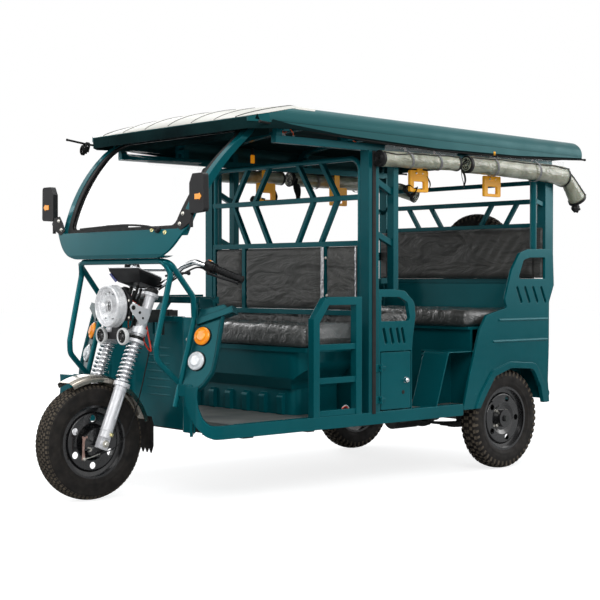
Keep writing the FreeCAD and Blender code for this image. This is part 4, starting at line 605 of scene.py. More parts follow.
def tyre(name, body, node, centre, axis, start, rows, carcass, pitch_count):
    """Tyre with a turned carcass and raised tread blocks."""
    axis = Vector(axis)
    up = Vector((0, 0, 1))
    side = axis.cross(up)
    centre = Vector(centre)

    def at(radius, angle, across):
        return centre + axis * across / 1000 + around(side, up, angle) * radius / 1000
    piece = Piece()
    count = 120
    rings = []
    profile = carcass + [(-y, r) for y, r in reversed(carcass)]
    for y, r in profile:
        rings.append([at(r, a, y) for a in circle(count)])
    rings.append(rings[0])
    piece.loft(rings, "rubber", True, False)
    step = 2 * math.pi / pitch_count
    for y0, y1, top0, top1, foot0, foot1, shift, length in rows:
        for k in range(pitch_count):
            a = start + (k + shift) * step
            b = a + step * length
            taper = step * 0.05
            for s in (1, -1):
                lower = [at(foot0, a, s * y0), at(foot0, b, s * y0), at(foot1, b, s * y1),
                    at(foot1, a, s * y1)]
                upper = [at(top0, a + taper, s * (y0 + 1)), at(top0, b - taper, s * (y0 + 1)),
                    at(top1, b - taper, s * (y1 - 1)), at(top1, a + taper, s * (y1 - 1))]
                piece.add(lower + upper, [[0, 1, 5, 4], [1, 2, 6, 5], [2, 3, 7, 6], [3, 0, 4, 7]], "rubber")
                piece.add(upper, [[0, 1, 2, 3]], "tread")
    return piece.make(name, body, (node,), 30)


FRONT_CARCASS = [(0, 246), (20, 245.5), (35, 242), (43, 235), (46.5, 226), (47.2, 224.5), (46.8, 222),
    (48.5, 210), (49, 198), (48.6, 188), (47.2, 180), (47.6, 178.5), (45.8, 174), (42, 163), (39, 157),
    (36, 153.5), (30, 153.5)]
REAR_CARCASS = [(0, 241), (22, 240.5), (36, 237), (44, 230), (47.5, 220), (48.6, 205), (49, 196),
    (48.4, 188), (47, 180), (47.4, 178), (45.5, 172), (41, 162), (38, 157), (36, 153.5), (30, 153.5)]
ROAD_ROWS = [(0.5, 9, 250, 249.6, 243, 243, 0.0, 0.76), (11.5, 21, 249.4, 248.4, 242.5, 242, 0.5, 0.76),
    (23.5, 34, 247.8, 244.6, 241, 239, 0.0, 0.76), (36.5, 46, 243.4, 231, 236, 224, 0.5, 0.7)]
LUG_ROWS = [(0.8, 15, 250, 249.2, 239, 239, 0.0, 0.62), (18, 33, 248.6, 246, 238, 236, 0.5, 0.62),
    (35.5, 46.5, 245, 236, 234, 224, 0.0, 0.66), (46.2, 49, 235, 214, 222, 206, 0.0, 0.5)]


def make_tyres():
    tyre("tyre_front", "front_wheel", "front_tyre", P(WHEELBASE, 0, HUB_HEIGHT), (0, 1, 0), 0, ROAD_ROWS,
        FRONT_CARCASS, 72)
    for side, word in SIDES:
        tyre("tyre_rear_" + word, "rear_wheel_" + word, "rear_tyre_" + word,
            P(0, side * REAR_WHEEL_Y, HUB_HEIGHT), (0, 1, 0), 0.02, LUG_ROWS, REAR_CARCASS, 46)
    tyre("tyre_spare", "body", "spare_tyre", P(*SPARE_AT), (1, 0, 0), 0, LUG_ROWS, REAR_CARCASS, 46)


def make_wheel_fittings():
    """Nuts, hub caps and valves."""
    for side, word in SIDES:
        piece = Piece()
        face = side * (REAR_WHEEL_Y + 8)
        for k in range(4):
            t = math.radians(45 + 90 * k)
            p = P(50 * math.cos(t), face, HUB_HEIGHT + 50 * math.sin(t))
            piece.turn(p, (0, side, 0), [(8.5, 0), (8.5, 12), (6, 15), (0.2, 15)], "zinc", 6)
        piece.turn(P(0, face, HUB_HEIGHT), (0, side, 0), [(21, 0), (21, 16), (16, 22), (0.2, 23)], "rim",
            24)
        piece.tube(mm([(96, side * 556, 336), (99, side * 566, 339), (101, side * 574, 341)]), 3.5,
            "plastic", 8)
        piece.make("wheel_nuts_" + word, "rear_wheel_" + word, (), 40)


# Seats

def cushion(name, node, seed, round_by):
    """Padded cushion: a rounded block swollen at the middle, pulled in at the edges and wrinkled."""
    crown, dent, step = 0.004, 0.006, 0.014
    low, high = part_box(node)
    low, high = low + Vector((0.002, 0.002, 0.0)), high - Vector((0.002, 0.002, 0.004))
    mid, half = (low + high) / 2, (high - low) / 2
    work = bmesh.new()
    nx, ny, nz = (max(3, int(2 * h / step)) for h in half)
    nz = max(nz, 6)
    cache = {}

    def vert(i, j, k):
        key = (i, j, k)
        if key not in cache:
            p = Vector((i / nx * 2 - 1, j / ny * 2 - 1, k / nz * 2 - 1))
            q = Vector((p.x * half.x, p.y * half.y, p.z * half.z))
            inner = Vector(tuple(max(-h + round_by, min(h - round_by, c)) for c, h in zip(q, half)))
            out = q - inner
            if out.length > 1e-9:
                q = inner + out.normalized() * round_by
            fx, fy = 1 - p.x ** 2, 1 - p.y ** 2
            if p.z > -0.3:
                q.z += crown * (fx ** 0.6) * (fy ** 0.35) * max(0, p.z)
            w = mid + q
            fold = wobble(w, 7, seed) * 0.7 + wobble(w, 17, seed + 3) * 0.45
            fold += max(0, crease(w, 9, seed)) ** 4 * 0.9
            face = 1.0 if p.z > 0.6 else (0.8 if p.z > -0.7 else 0.0)
            normal = out.normalized() if out.length > 1e-9 else Vector((0, 0, 1 if p.z > 0 else 0))
            q += normal * dent * fold * face
            cache[key] = work.verts.new(mid + q)
        return cache[key]

    def face(*corners):
        work.faces.new([vert(*corner) for corner in corners])

    for i in range(nx):
        for j in range(ny):
            face((i, j, nz), (i + 1, j, nz), (i + 1, j + 1, nz), (i, j + 1, nz))
            face((i, j, 0), (i, j + 1, 0), (i + 1, j + 1, 0), (i + 1, j, 0))
    for k in range(nz):
        for i in range(nx):
            face((i, 0, k), (i + 1, 0, k), (i + 1, 0, k + 1), (i, 0, k + 1))
            face((i, ny, k), (i, ny, k + 1), (i + 1, ny, k + 1), (i + 1, ny, k))
        for j in range(ny):
            face((0, j, k), (0, j, k + 1), (0, j + 1, k + 1), (0, j + 1, k))
            face((nx, j, k), (nx, j + 1, k), (nx, j + 1, k + 1), (nx, j, k + 1))
    data = bpy.data.meshes.new(name)
    work.to_mesh(data)
    work.free()
    data.materials.append(M["vinyl"])
    obj = placed(name, data)
    data.polygons.foreach_set("use_smooth", [True] * len(data.polygons))
    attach(obj, "body")
    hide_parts(node)
    return obj


def make_cushions():
    cushion("seat_driver", "driver_cushion", 3.1, 0.03)
    cushion("seat_bench", "bench_cushion", 7.7, 0.026)
    cushion("seat_rear", "rear_cushion", 12.3, 0.026)


def pad(piece, centre_x, y0, y1, z0, z1, thick, seed, folds):
    """Slack upholstered panel with diagonal pull lines."""
    for face in (1, -1):
        def place(u, v):
            edge = min(u, 1 - u) * (y1 - y0), min(v, 1 - v) * (z1 - z0)
            dome = min(1, min(edge) / 26) ** 0.5
            y, z = y0 + u * (y1 - y0), z0 + v * (z1 - z0)
            s = Vector((0, y / 1000, z / 1000))
            pull = 0
            for angle, wave, amount, where in folds:
                line = math.sin(around(y, z, angle) / wave * 2 * math.pi + 3 * wobble(s, 4, seed))
                near = max(0, 1 - Vector((u - where[0], (v - where[1]) * 0.7)).length / where[2])
                pull += line * amount * near
            x = face * (thick / 2 + pull + 3 * wobble(s, 9, seed + face)) * dome
            return P(centre_x + x, y, z)
        piece.grid(max(8, int((y1 - y0) / 12)), max(8, int((z1 - z0) / 12)), place, "cloth")


def make_pads():
    right_folds = [(1.1, 34, 3.2, (0.1, 0.1, 0.6)), (0.5, 46, 2.6, (0.9, 0.2, 0.7)),
        (1.35, 40, 2.4, (0.5, 0.05, 0.5))]
    left_folds = [(0.9, 40, 4.2, (0.5, 0.5, 0.9)), (0.45, 60, 3.0, (0.2, 0.9, 0.7))]
    back_folds = [(0.75, 60, 3.5, (0.1, 0.5, 0.5)), (-0.7, 56, 4.0, (0.95, 0.6, 0.5)),
        (0.9, 44, 2.0, (0.6, 0.9, 0.4))]
    pads, back = Piece(), Piece()
    for y0, y1, seed, folds in ((-520, -308, 2.2, right_folds), (-282, 282, 5.3, right_folds),
            (308, 520, 8.9, left_folds)):
        pad(pads, 975, y0, y1, 806, 1099, 34, seed, folds)
    low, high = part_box("rear_backrest")
    pad(back, (low.x + high.x) * 500 + REAR_AXLE, -529, 529, low.z * 1000, high.z * 1000, 50, 4.4,
        back_folds)
    for piece, name, node, share in ((pads, "pads_partition", "partition_pads", 0.4),
            (back, "backrest_rear", "rear_backrest", 0.5)):
        obj = piece.make(name, "body", (node,), 75)
        weld(obj)


def weld(obj):
    work = bmesh.new()
    work.from_mesh(obj.data)
    bmesh.ops.remove_doubles(work, verts=work.verts, dist=0.0004)
    bmesh.ops.recalc_face_normals(work, faces=work.faces)
    work.to_mesh(obj.data)
    work.free()


# Side curtains

def roll(piece, points, radii, seed):
    """Rolled sheet with a loose outer edge and a dark bound end."""
    line = smooth(points, 16)
    count, sides = len(line), 40
    rings, lips, frames = [], [], []
    side = Vector((0, 0, 1))
    for i, p in enumerate(line):
        t = i / (count - 1)
        along = (line[min(i + 1, count - 1)] - line[max(i - 1, 0)]).normalized()
        side = (side - along * side.dot(along)).normalized()
        up = along.cross(side)
        radius = radii[0] + (radii[1] - radii[0]) * t
        ring = []
        turn = 0.9 + 0.5 * wobble((t * 3, seed, 0), 1.0)
        for k, a in enumerate(circle(sides)):
            out = around(side, up, a + turn) * radius / 1000
            swell = 0.95 + 0.05 * wobble(p + out, 9, seed) + 0.10 * k / sides
            swell += 0.035 * wobble((t * 30, math.cos(a) * 1.2, math.sin(a) * 1.2), 1.3, seed)
            ring.append(p + out * swell)
        rings.append(ring)
        lips.append(ring[-1] + (ring[-1] - p) * 0.02)
        frames.append((p, along, side, up, radius))
    piece.loft(rings, "pvc", True, True)
    piece.tube(lips, 2.8, "edge", 6)
    for index, sign in ((0, -1), (-1, 1)):
        p, along, side, up, radius = frames[index]
        coil = []
        turns = 3.2
        for k in range(int(turns * 24)):
            a = k / 24 * 2 * math.pi
            r = (radius - 3) / 1000 * (1 - 0.82 * k / (turns * 24))
            coil.append(p + along * sign * 0.002 + around(side, up, a) * r)
        piece.tube(coil, 5.2, "edge", 6)
        piece.turn(p + along * sign * 0.0005, along * sign, [(radius + 1, -12), (radius + 1.6, 2),
            (radius - 6, 3), (0.2, 0)], "edge", 32)


def make_curtains():
    y1, y2 = 636, 641
    whole = Piece()
    for side in (1, -1):
        roll(whole, [(958, side * y1, 1491), (700, side * (y1 + 1), 1494), (442, side * y1, 1497)],
            (36, 35), 4.0 + side)
    roll(whole, [(374, y2, 1496), (100, y2, 1494), (-200, y2 - 3, 1488), (-330, y2 - 5, 1481),
        (-380, y2 - 6, 1474)], (40, 50), 10.0)
    roll(whole, [(-325, y2 - 2, 1492), (-385, y2, 1474), (-432, y2, 1434), (-474, y2 - 1, 1388),
        (-496, y2 - 2, 1362)], (28, 46), 3.0)
    roll(whole, [(374, -y2, 1499), (100, -y2, 1497), (-200, -y2, 1494), (-400, 3 - y2, 1486)], (38, 40),
        8.0)
    roll(whole, [(-398, 3 - y2, 1486), (-455, 18 - y2, 1476), (-490, 60 - y2, 1458),
        (-507, 112 - y2, 1439)], (39, 40), 5.0)
    whole.make("curtains_rolled", "body", ("curtain_rolls",), 50)
    straps = Piece()
    for side in (1, -1):
        r2, r3 = (46, 51) if side > 0 else (42, 42)
        for x, lean, r, y, z in ((776, 20, 38, y1, 1495), (584, 17, 38, y1, 1495), (190, 12, r2, y2, 1494),
                (-132, 8, r3, y2, 1490)):
            ring = [P(x + lean * math.sin(a) * 0.4, side * (y + r * math.cos(a)), z + r * math.sin(a))
                for a in circle(24, 1)]
            straps.strap(ring, 13, 1.6, "webbing", (1, 0, 0))
            straps.strap(mm([(x + lean * 0.5, side * (y - 4), z + r), (x + lean, side * (y + 2), 1549),
                (x + lean * 1.5, side * (y + 4), 1566)]), 13, 1.6, "webbing", (1, 0, 0))
    straps.make("curtain_straps", "body", (), 40)


def make_roll_ends():
    """Rings on the front discs of the rolls and crumpled film in the bound mouths."""
    piece = Piece()
    for side in (1, -1):
        last = (-498, 639, 1360, 46, True) if side > 0 else (-508, 527, 1438, 40, True)
        for x, y, z, radius, film in ((960.5, 636, 1491, 36, False), (376.5, 641, 1497, 39, True), last):
            at = P(x, side * y, z)
            way = Vector((1, 0, 0)) if x > 0 else Vector((-0.64, 0, -0.77) if side > 0
                else (-0.27, 0.9, -0.33))
            way.normalize()
            across = way.cross(Vector((0, 1, 0.2))).normalized()
            up = way.cross(across).normalized()
            for r, thick in ((0.98, 3.4), (0.72, 1.6), (0.5, 1.6), (0.26, 2.2)):
                if film and r < 0.9:
                    continue
                ring = [at + around(across, up, a) * radius * r / 1000 for a in circle(36, 1)]
                piece.tube(ring, thick, "edge", 8, False)
            if film:
                rings = []
                for i in range(9):
                    r = radius * (0.86 - 0.1 * i) / 1000
                    ring = []
                    for a in circle(40):
                        lift = 3 + 6 * wobble((math.cos(a) * 2, math.sin(a) * 2, i * 0.6), 1.4, side)
                        ring.append(at + around(across, up, a) * r + way * lift / 1000)
                    rings.append(ring)
                piece.loft(rings, "pvc", True, False)
    tuft = []
    for i in range(13):
        a = math.pi * (i + 0.5) / 13
        ring = []
        for b in circle(24):
            out = Vector((math.sin(a) * math.cos(b), math.sin(a) * math.sin(b) * 0.7, math.cos(a) * 0.8))
            size = 24 + 7 * wobble(out * 2.2, 1.0, 6.1) + 6 * max(0, crease(out * 1.7, 1.0, 2.4))
            ring.append(P(-482, 640, 1318) + out * size / 1000)
        tuft.append(ring)
    piece.loft(tuft, "edge")
    piece.make("curtain_roll_ends", "body", (), 60)


# Placing on the frame

TREES = {}


def seat(node, start, way):
    """Where a ray from start first meets a CAD node, and the surface's normal there."""
    if node not in TREES:
        TREES[node] = BVHTree.FromObject(NODES[node], bpy.context.evaluated_depsgraph_get())
    point, normal, _, _ = TREES[node].ray_cast(Vector(start), Vector(way).normalized())
    return point, normal


def bolt(piece, point, way, r, key, sides=6, washer=True):
    """Bolt head of radius r with a washer at point, standing up along way."""
    if washer:
        piece.turn(point, way, [(r * 1.5, -1), (r * 1.5, 1.2), (r * 1.3, 1.8), (0.2, 1.8)], key, 20)
    piece.turn(point, way, [(r, 0), (r, r * 0.8), (r * 0.8, r * 1.1), (0.2, r * 1.15)], key, sides)


def cable(name, body, points, radius, key):
    """Free cord on one smooth line through the given control points, in millimetres."""
    data = bpy.data.curves.new(name, "CURVE")
    data.dimensions = "3D"
    spline = data.splines.new("NURBS")
    places = mm(points)
    spline.points.add(len(places) - 1)
    for knot, place in zip(spline.points, places):
        knot.co = (*place, 1)
    spline.order_u = 3
    spline.use_endpoint_u = True
    spline.resolution_u = 10
    obj = placed(name, data)
    line = bpy.data.meshes.new_from_object(obj)
    data.bevel_depth = radius / 1000
    data.bevel_resolution = 3
    data.use_fill_caps = True
    data.materials.append(M[key])
    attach(obj, body)
    return obj


# Lamps

LAMP_AT = (1946.7, 0, 830)
FOG_AT = (1956.1, 82, 701)
WING_AT = (1862, 369.5, 510)
WING_LEAN = math.radians(-15)
WING_SWEEP = math.radians(19)


def on_wing(x, y, z, side=1):
    """Point in metres on the leaning and swept wing plane."""
    c, s = math.cos(WING_LEAN), math.sin(WING_LEAN)
    x, z = x * c + z * s, z * c - x * s
    c, s = math.cos(WING_SWEEP), math.sin(WING_SWEEP)
    x, y = x * c - y * s, x * s + y * c
    return P(WING_AT[0] + x, side * (WING_AT[1] + y), WING_AT[2] + z)


def ahead(at, x, wide, high, a):
    """Point x ahead of at, at angle a on an oval round the lamp's axis."""
    return at + Vector((x, wide * math.cos(a), high * math.sin(a))) / 1000


def dish(piece, at, inner, outer, deep, petals, swell, key):
    """Reflector bowl facing +X whose rings are pushed out into petals."""
    steps = 14
    rings = []
    for i in range(steps + 1):
        r = inner + (outer - inner) * i / steps
        ring = []
        for a in circle(96):
            lift = swell * abs(math.cos(a * petals / 2)) * math.sin(math.pi * i / steps)
            x = deep[0] + (deep[1] - deep[0]) * (i / steps) ** 1.7 + lift
            ring.append(ahead(at, x, r, r, a))
        rings.append(ring)
    piece.loft(rings, key, True, False)


def oval(piece, at, wide, high, x, radius, key):
    ring = [ahead(at, x, wide, high, a) for a in circle(40, 1)]
    piece.tube(ring, radius, key, 8, False)


def make_headlamp():
    at = P(*LAMP_AT)
    front = (1, 0, 0)
    piece = Piece()
    piece.turn(at, front, [(0.2, 0), (50, 0), (60, 1.5), (89.5, 3.5)], "plastic", 64)
    piece.turn(at, front, [(89.5, 3.5), (92.5, 4.5), (93, 7), (93, 12), (91.5, 13), (91.5, 14.5),
        (92.5, 15.5), (91.8, 36), (90.8, 36.5), (90.5, 38), (91.2, 38.5), (90.5, 47.5), (88.8, 51.5),
        (86, 53.5), (83, 52.8), (81, 49), (80.2, 44), (79.5, 37)], "bezel", 96)
    dish(piece, at, 12, 79.5, (12, 37), 8, 6, "bezel")
    piece.turn(at, front, [(0.2, 12.5), (12, 12)], "bezel", 32)
    oval(piece, at, 71, 71, 36, 2.2, "bezel")
    oval(piece, at, 46, 46, 27, 1.6, "bezel")
    oval(piece, at, 15, 29, 33, 3.2, "bezel")
    oval(piece, at, 6.5, 20, 34, 2.8, "plastic")
    piece.turn(at + Vector((0.03, 0, 0)), front, [(5.5, 0), (5, 4), (0.2, 6)], "plastic", 24)
    for k in range(8):
        a = math.pi / 8 + k * math.pi / 4
        spot = ahead(at, 26, 57, 57, a)
        piece.turn(spot, front, [(11.5, 0), (10.5, 4), (6, 7.5), (0.2, 8.5)], "clear", 20)
    for a in (62, 90, 118, 242, 298):
        spot = ahead(at, 34, 60, 60, math.radians(a))
        piece.turn(spot, front, [(4.2, 0), (4.2, 2), (0.2, 2.4)], "trim", 12)
    for k in range(3):
        a = math.radians(-12 + 12 * k)
        spot = ahead(at, 44, 92.5, 92.5, a)
        piece.turn(spot, (0, math.cos(a), math.sin(a)), [(2.8, -1), (2.4, 1.2), (0.2, 1.4)], "bezel", 10)
    piece.make("headlamp_unit", "steering", ("headlamp",))
    lens = Piece()
    lens.turn(at, front, [(85, 51.5), (78, 53.5), (60, 57.5), (40, 60.2), (20, 61.6), (0.2, 62)],
        "lamp_glass", 64)
    lens.make("headlamp_lens", "steering", (), 40)


def make_fog_lamps():
    piece, lens = Piece(), Piece()
    front = (1, 0, 0)
    for side in (1, -1):
        at = P(FOG_AT[0], side * FOG_AT[1], FOG_AT[2])
        piece.turn(at, front, [(0.2, 0), (30, 0), (35.5, 3), (37, 8), (37, 16), (35.2, 19.5), (31.5, 20.5),
            (29.2, 18.5), (28.5, 15)], "white", 48)
        piece.turn(at, front, [(28.5, 16.5), (26.8, 10.5), (20, 6), (0.2, 4)], "plastic", 48)
        oval(piece, at, 21, 21, 11, 1.2, "rim")
        piece.turn(at, front, [(12, 5), (11.8, 11), (8, 14.5), (0.2, 16)], "rim", 24)
        for k in range(4):
            a = math.pi / 4 + k * math.pi / 2
            foot = ahead(at, 8, 24.5, 24.5, a)
            piece.turn(foot, front, [(2.6, 0), (2.6, 4), (0.2, 4.5)], "zinc", 10)
        lens.turn(at, front, [(28.8, 16.5), (20, 18.5), (10, 19.5), (0.2, 19.8)], "lamp_glass", 40)
    piece.make("fog_lamp_pair", "steering", ("fog_lamps",))
    lens.make("fog_lamp_lenses", "steering", (), 40)


def make_side_lamps():
    for (y, z, r), key, node in (((67.6, 204, 41.5), "amber", "indicator_lamps"),
            ((55.3, 96.3, 42.5), "clear", "position_lamps")):
        piece = Piece()
        for side in (1, -1):
            at = on_wing(0.3, y, z, side)
            out = (on_wing(1.3, y, z, side) - at).normalized()
            piece.turn(at, out, [(r * 0.9, 0), (r, 0.5), (r, 4.5), (r - 1.5, 6), (r - 3, 6)], "trim", 56)
            rings = [(r - 2.8, 4.5), (r - 3.2, 9.5), (r - 6.5, 12.8)]
            for k in range(3):
                edge = r - 7.5 - 3.2 * k
                rings += [(edge, 13.6 + 0.2 * k), (edge - 1.2, 12.9 + 0.2 * k)]
            rings += [(r * 0.58, 14.2), (r * 0.55, 18.5), (r * 0.46, 21.2), (r * 0.2, 21.9), (0.2, 22)]
            piece.turn(at, out, rings, key, 56)
        piece.make(node + "_detail", "body", (node,), 30)


def make_tail_lamps():
    piece = Piece()
    low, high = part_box("tail_lamps")
    back = low.x
    for side in (1, -1):
        y0, y1 = sorted((side * 0.345, side * 0.455))
        piece.block((back + 0.006, y0, low.z), (high.x, y1, high.z), "plastic", 4)
        third = (high.z - low.z - 0.012) / 3
        for k, key in enumerate(("clear", "amber", "red")):
            z = low.z + 0.006 + k * third
            piece.block((back, y0 + 0.006, z + 0.001), (back + 0.008, y1 - 0.006, z + third - 0.001), key,
                3)
    piece.make("tail_lamp_lenses", "body", ("tail_lamps",))


# Steering

TAN_RAKE = math.tan(RAKE)
HEAD_AXIS = (-math.sin(RAKE), 0, math.cos(RAKE))
LEG_SPREAD = 100


def leg(z, side=1, ahead=0.0, out=0.0):
    """Point in metres on the line of a fork leg at height z, moved ahead of it and outwards."""
    return P(WHEELBASE - (z - HUB_HEIGHT) * TAN_RAKE + ahead, side * (LEG_SPREAD + out), z)


def make_fork_details():
    piece = Piece()
    for side in (1, -1):
        for z, profile, key in ((672, [(23.5, 0), (28.5, 2), (29, 12), (27.5, 20), (26.5, 28), (23.5, 30)],
                "trim"), (702, [(23.5, 0), (26.2, 2), (26.2, 6), (23.5, 8)], "silver"),
                (866, [(23.5, 0), (26, 1), (26, 8), (23.5, 10)], "silver"),
                (897, [(23.2, -12), (26.2, -10), (26.8, 4), (20, 12), (0.2, 13)], "plastic")):
            piece.turn(leg(z, side), HEAD_AXIS, profile, key, 32)
        ear_x = WHEELBASE - (790 - HUB_HEIGHT) * TAN_RAKE
        ear = [(-10, 790), (12, 752), (40, 752), (88, 812), (94, 828), (86, 842), (70, 842), (14, 822),
            (-6, 818)]
        rings = []
        for out in (24.5, 28.0):
            rings.append([P(ear_x + a, side * (LEG_SPREAD + out), z) for a, z in ear])
        piece.loft(rings, "silver")
        for a, z, r in ((77, 826, 10), (44, 804, 6.5), (28, 780, 5)):
            at = P(ear_x + a, side * (LEG_SPREAD + 28), z)
            piece.turn(at, (0, side, 0), [(r, -5), (r, 1.2), (r * 0.7, 2), (0.2, 2)], "trim", 20)
        rim_line = [leg(z, side, ahead, 26.6) for ahead, z in ((-7, 352), (7, 352), (9, 360), (9, 442),
            (5, 452), (-5, 452), (-9, 442), (-9, 360), (-7, 352))]
        piece.tube(rim_line, 1.8, "silver", 8, False)
        for z in (300, 468):
            piece.turn(leg(z, side), HEAD_AXIS, [(27.5, 0), (28.8, 1.5), (28.8, 6), (27.5, 7.5)], "silver",
                32)
        bolt(piece, leg(286, side, -14, 27), (0, side, 0), 6, "brass")
        bolt(piece, P(WHEELBASE, side * (LEG_SPREAD + 26), HUB_HEIGHT), (0, side, 0), 11, "zinc")
    piece.make("fork_fittings", "steering")


def make_brake():
    """Back plate with ribs, a forged arm, its pull rod and the cable stop."""
    piece = Piece()
    left = (0, 1, 0)
    hub = P(WHEELBASE, 53, HUB_HEIGHT)
    piece.turn(hub, left, [(9, 0), (62, 0), (62.5, 2), (61, 5.5), (50, 7), (30, 7.2), (26, 9.5), (16, 9.8),
        (9, 9.8)], "rim", 56)
    for k in range(6):
        a = k * math.pi / 3 + 0.3
        piece.tube([hub + Vector((r * math.cos(a), 0.0072, r * math.sin(a))) for r in (0.026, 0.053)], 2.2,
            "rim", 8)
    piece.turn(P(2125, 56, 224), left, [(12, 0), (12, 6), (9, 11), (0.2, 11.5)], "zinc", 20)
    arm = [(2152, 279, 9), (2156, 262, 6.5), (2158, 240, 5.5), (2158, 215, 5.5), (2157, 196, 8),
        (2156, 183, 10)]
    rings = []
    for x, z, wide in arm:
        rings.append([P(x - wide, 66, z), P(x - wide * 0.5, 71, z), P(x + wide * 0.5, 71, z),
            P(x + wide, 66, z), P(x + wide * 0.5, 62, z), P(x - wide * 0.5, 62, z)])
    piece.loft(rings, "copper")
    for dx in (-9, 9):
        piece.turn(P(2152 + dx, 68, 280), (0, 0, 1), [(4, -6), (4.5, 2), (0.2, 4)], "copper", 10)
    piece.tube(smooth([(2125, 63, 224), (2140, 66, 224), (2158, 67, 226)], 5), 5, "rim", 10)
    bolt(piece, P(2156, 71, 186), left, 5, "zinc")
    piece.tube(smooth([(2156, 70, 186), (2120, 70, 192), (2075, 70, 204)], 6), 2.2, "zinc", 8)
    piece.make("brake_assembly", "steering", ("brake_gear",))
    cable("brake_cable", "steering", [(2078, 71, 203), (2050, 71, 206), (1990, 73, 226), (1938, 76, 282),
        (1906, 80, 360), (1880, 86, 450), (1852, 90, 560), (1822, 88, 680)], 2.6, "trim")


def make_handlebar_fittings():
    piece = Piece()
    inner, outer = Vector((1649.8, 292, 1000)), Vector((1588.8, 415, 950))
    for side in (1, -1):
        a, b = Vector(inner), Vector(outer)
        a.y, b.y = a.y * side, b.y * side
        along = (b - a).normalized()
        head = P(*(a - along * 30))
        piece.turn(head, along, [(11.5, 0), (21.5, 2), (24.5, 8), (24.8, 30), (22.5, 36), (22.5, 44),
            (11.5, 46)], "plastic", 14)
        piece.turn(P(*(a + along * 16)), along, [(16.5, 0), (23.5, 1), (23.5, 5), (16.5, 6)], "trim", 28)
        for k in range(9):
            piece.turn(P(*(a + along * (30 + 12 * k))), along, [(16.2, 0), (17.2, 1.2), (17.2, 5.8),
                (16.2, 7)], "trim", 24)
        piece.turn(P(*(b + along * 5)), along, [(16.5, 0), (17.2, 2), (16.5, 9), (12, 12), (0.2, 12.5)],
            "trim", 24)
        for k, key in enumerate(("white", "arrow", "red")):
            spot = P(*(a - along * (8 + 9 * k))) + Vector((-0.012, 0.004 * side, 0.021))
            piece.turn(spot, (-0.4, 0.1 * side, 0.9), [(4.2, 0), (4.2, 4), (0.2, 4.5)], key, 12)
        lever = [a + Vector((4, 0, -14)), a + Vector((24, 10 * side, -24)),
            a + along * 40 + Vector((26, 8 * side, -24)), a + along * 90 + Vector((22, 6 * side, -22)),
            b + Vector((18, 10 * side, -18))]
        piece.tube(smooth(lever, 6), [6.8] * 8 + [5.5] * 15 + [6.2, 8.5], "plastic", 12)
        piece.tube(mm([a + Vector((-3, -12 * side, -4)), a + Vector((6, -8 * side, -20)),
            a + Vector((16, 4 * side, -24))]), 11, "plastic", 12)
    piece.tube(smooth([(1812, 178, 962), (1790, 205, 968), (1765, 232, 974), (1748, 250, 974)], 6), 5,
        "plastic", 10)
    piece.turn(P(1746, 252, 974), (-0.6, 0.7, 0.1), [(5, -4), (9, 0), (9.5, 6), (7, 11), (0.2, 12.5)],
        "plastic", 20)
    for side in (1, -1):
        for dx in (-16, 16):
            bolt(piece, P(1797 + dx, side * 34, 918), (0, 0, 1), 5, "zinc", 6, False)
    piece.make("handlebar_fittings", "steering", (), 40)
    for side, word in SIDES:
        cable("control_cable_" + word, "steering", [(1656, side * 280, 984), (1672, side * 266, 996),
            (1694, side * 248, 1002), (1722, side * 222, 984), (1750, side * 196, 962),
            (1772, side * 162, 936), (1786, side * 128, 916), (1790, side * 100, 902)], 4.0, "trim")
        cable("switch_lead_" + word, "steering", [(1662, side * 268, 1010), (1680, side * 254, 1028),
            (1706, side * 236, 1032), (1730, side * 208, 1014), (1758, side * 178, 976),
            (1778, side * 140, 946), (1790, side * 104, 930)], 3.4, "trim")


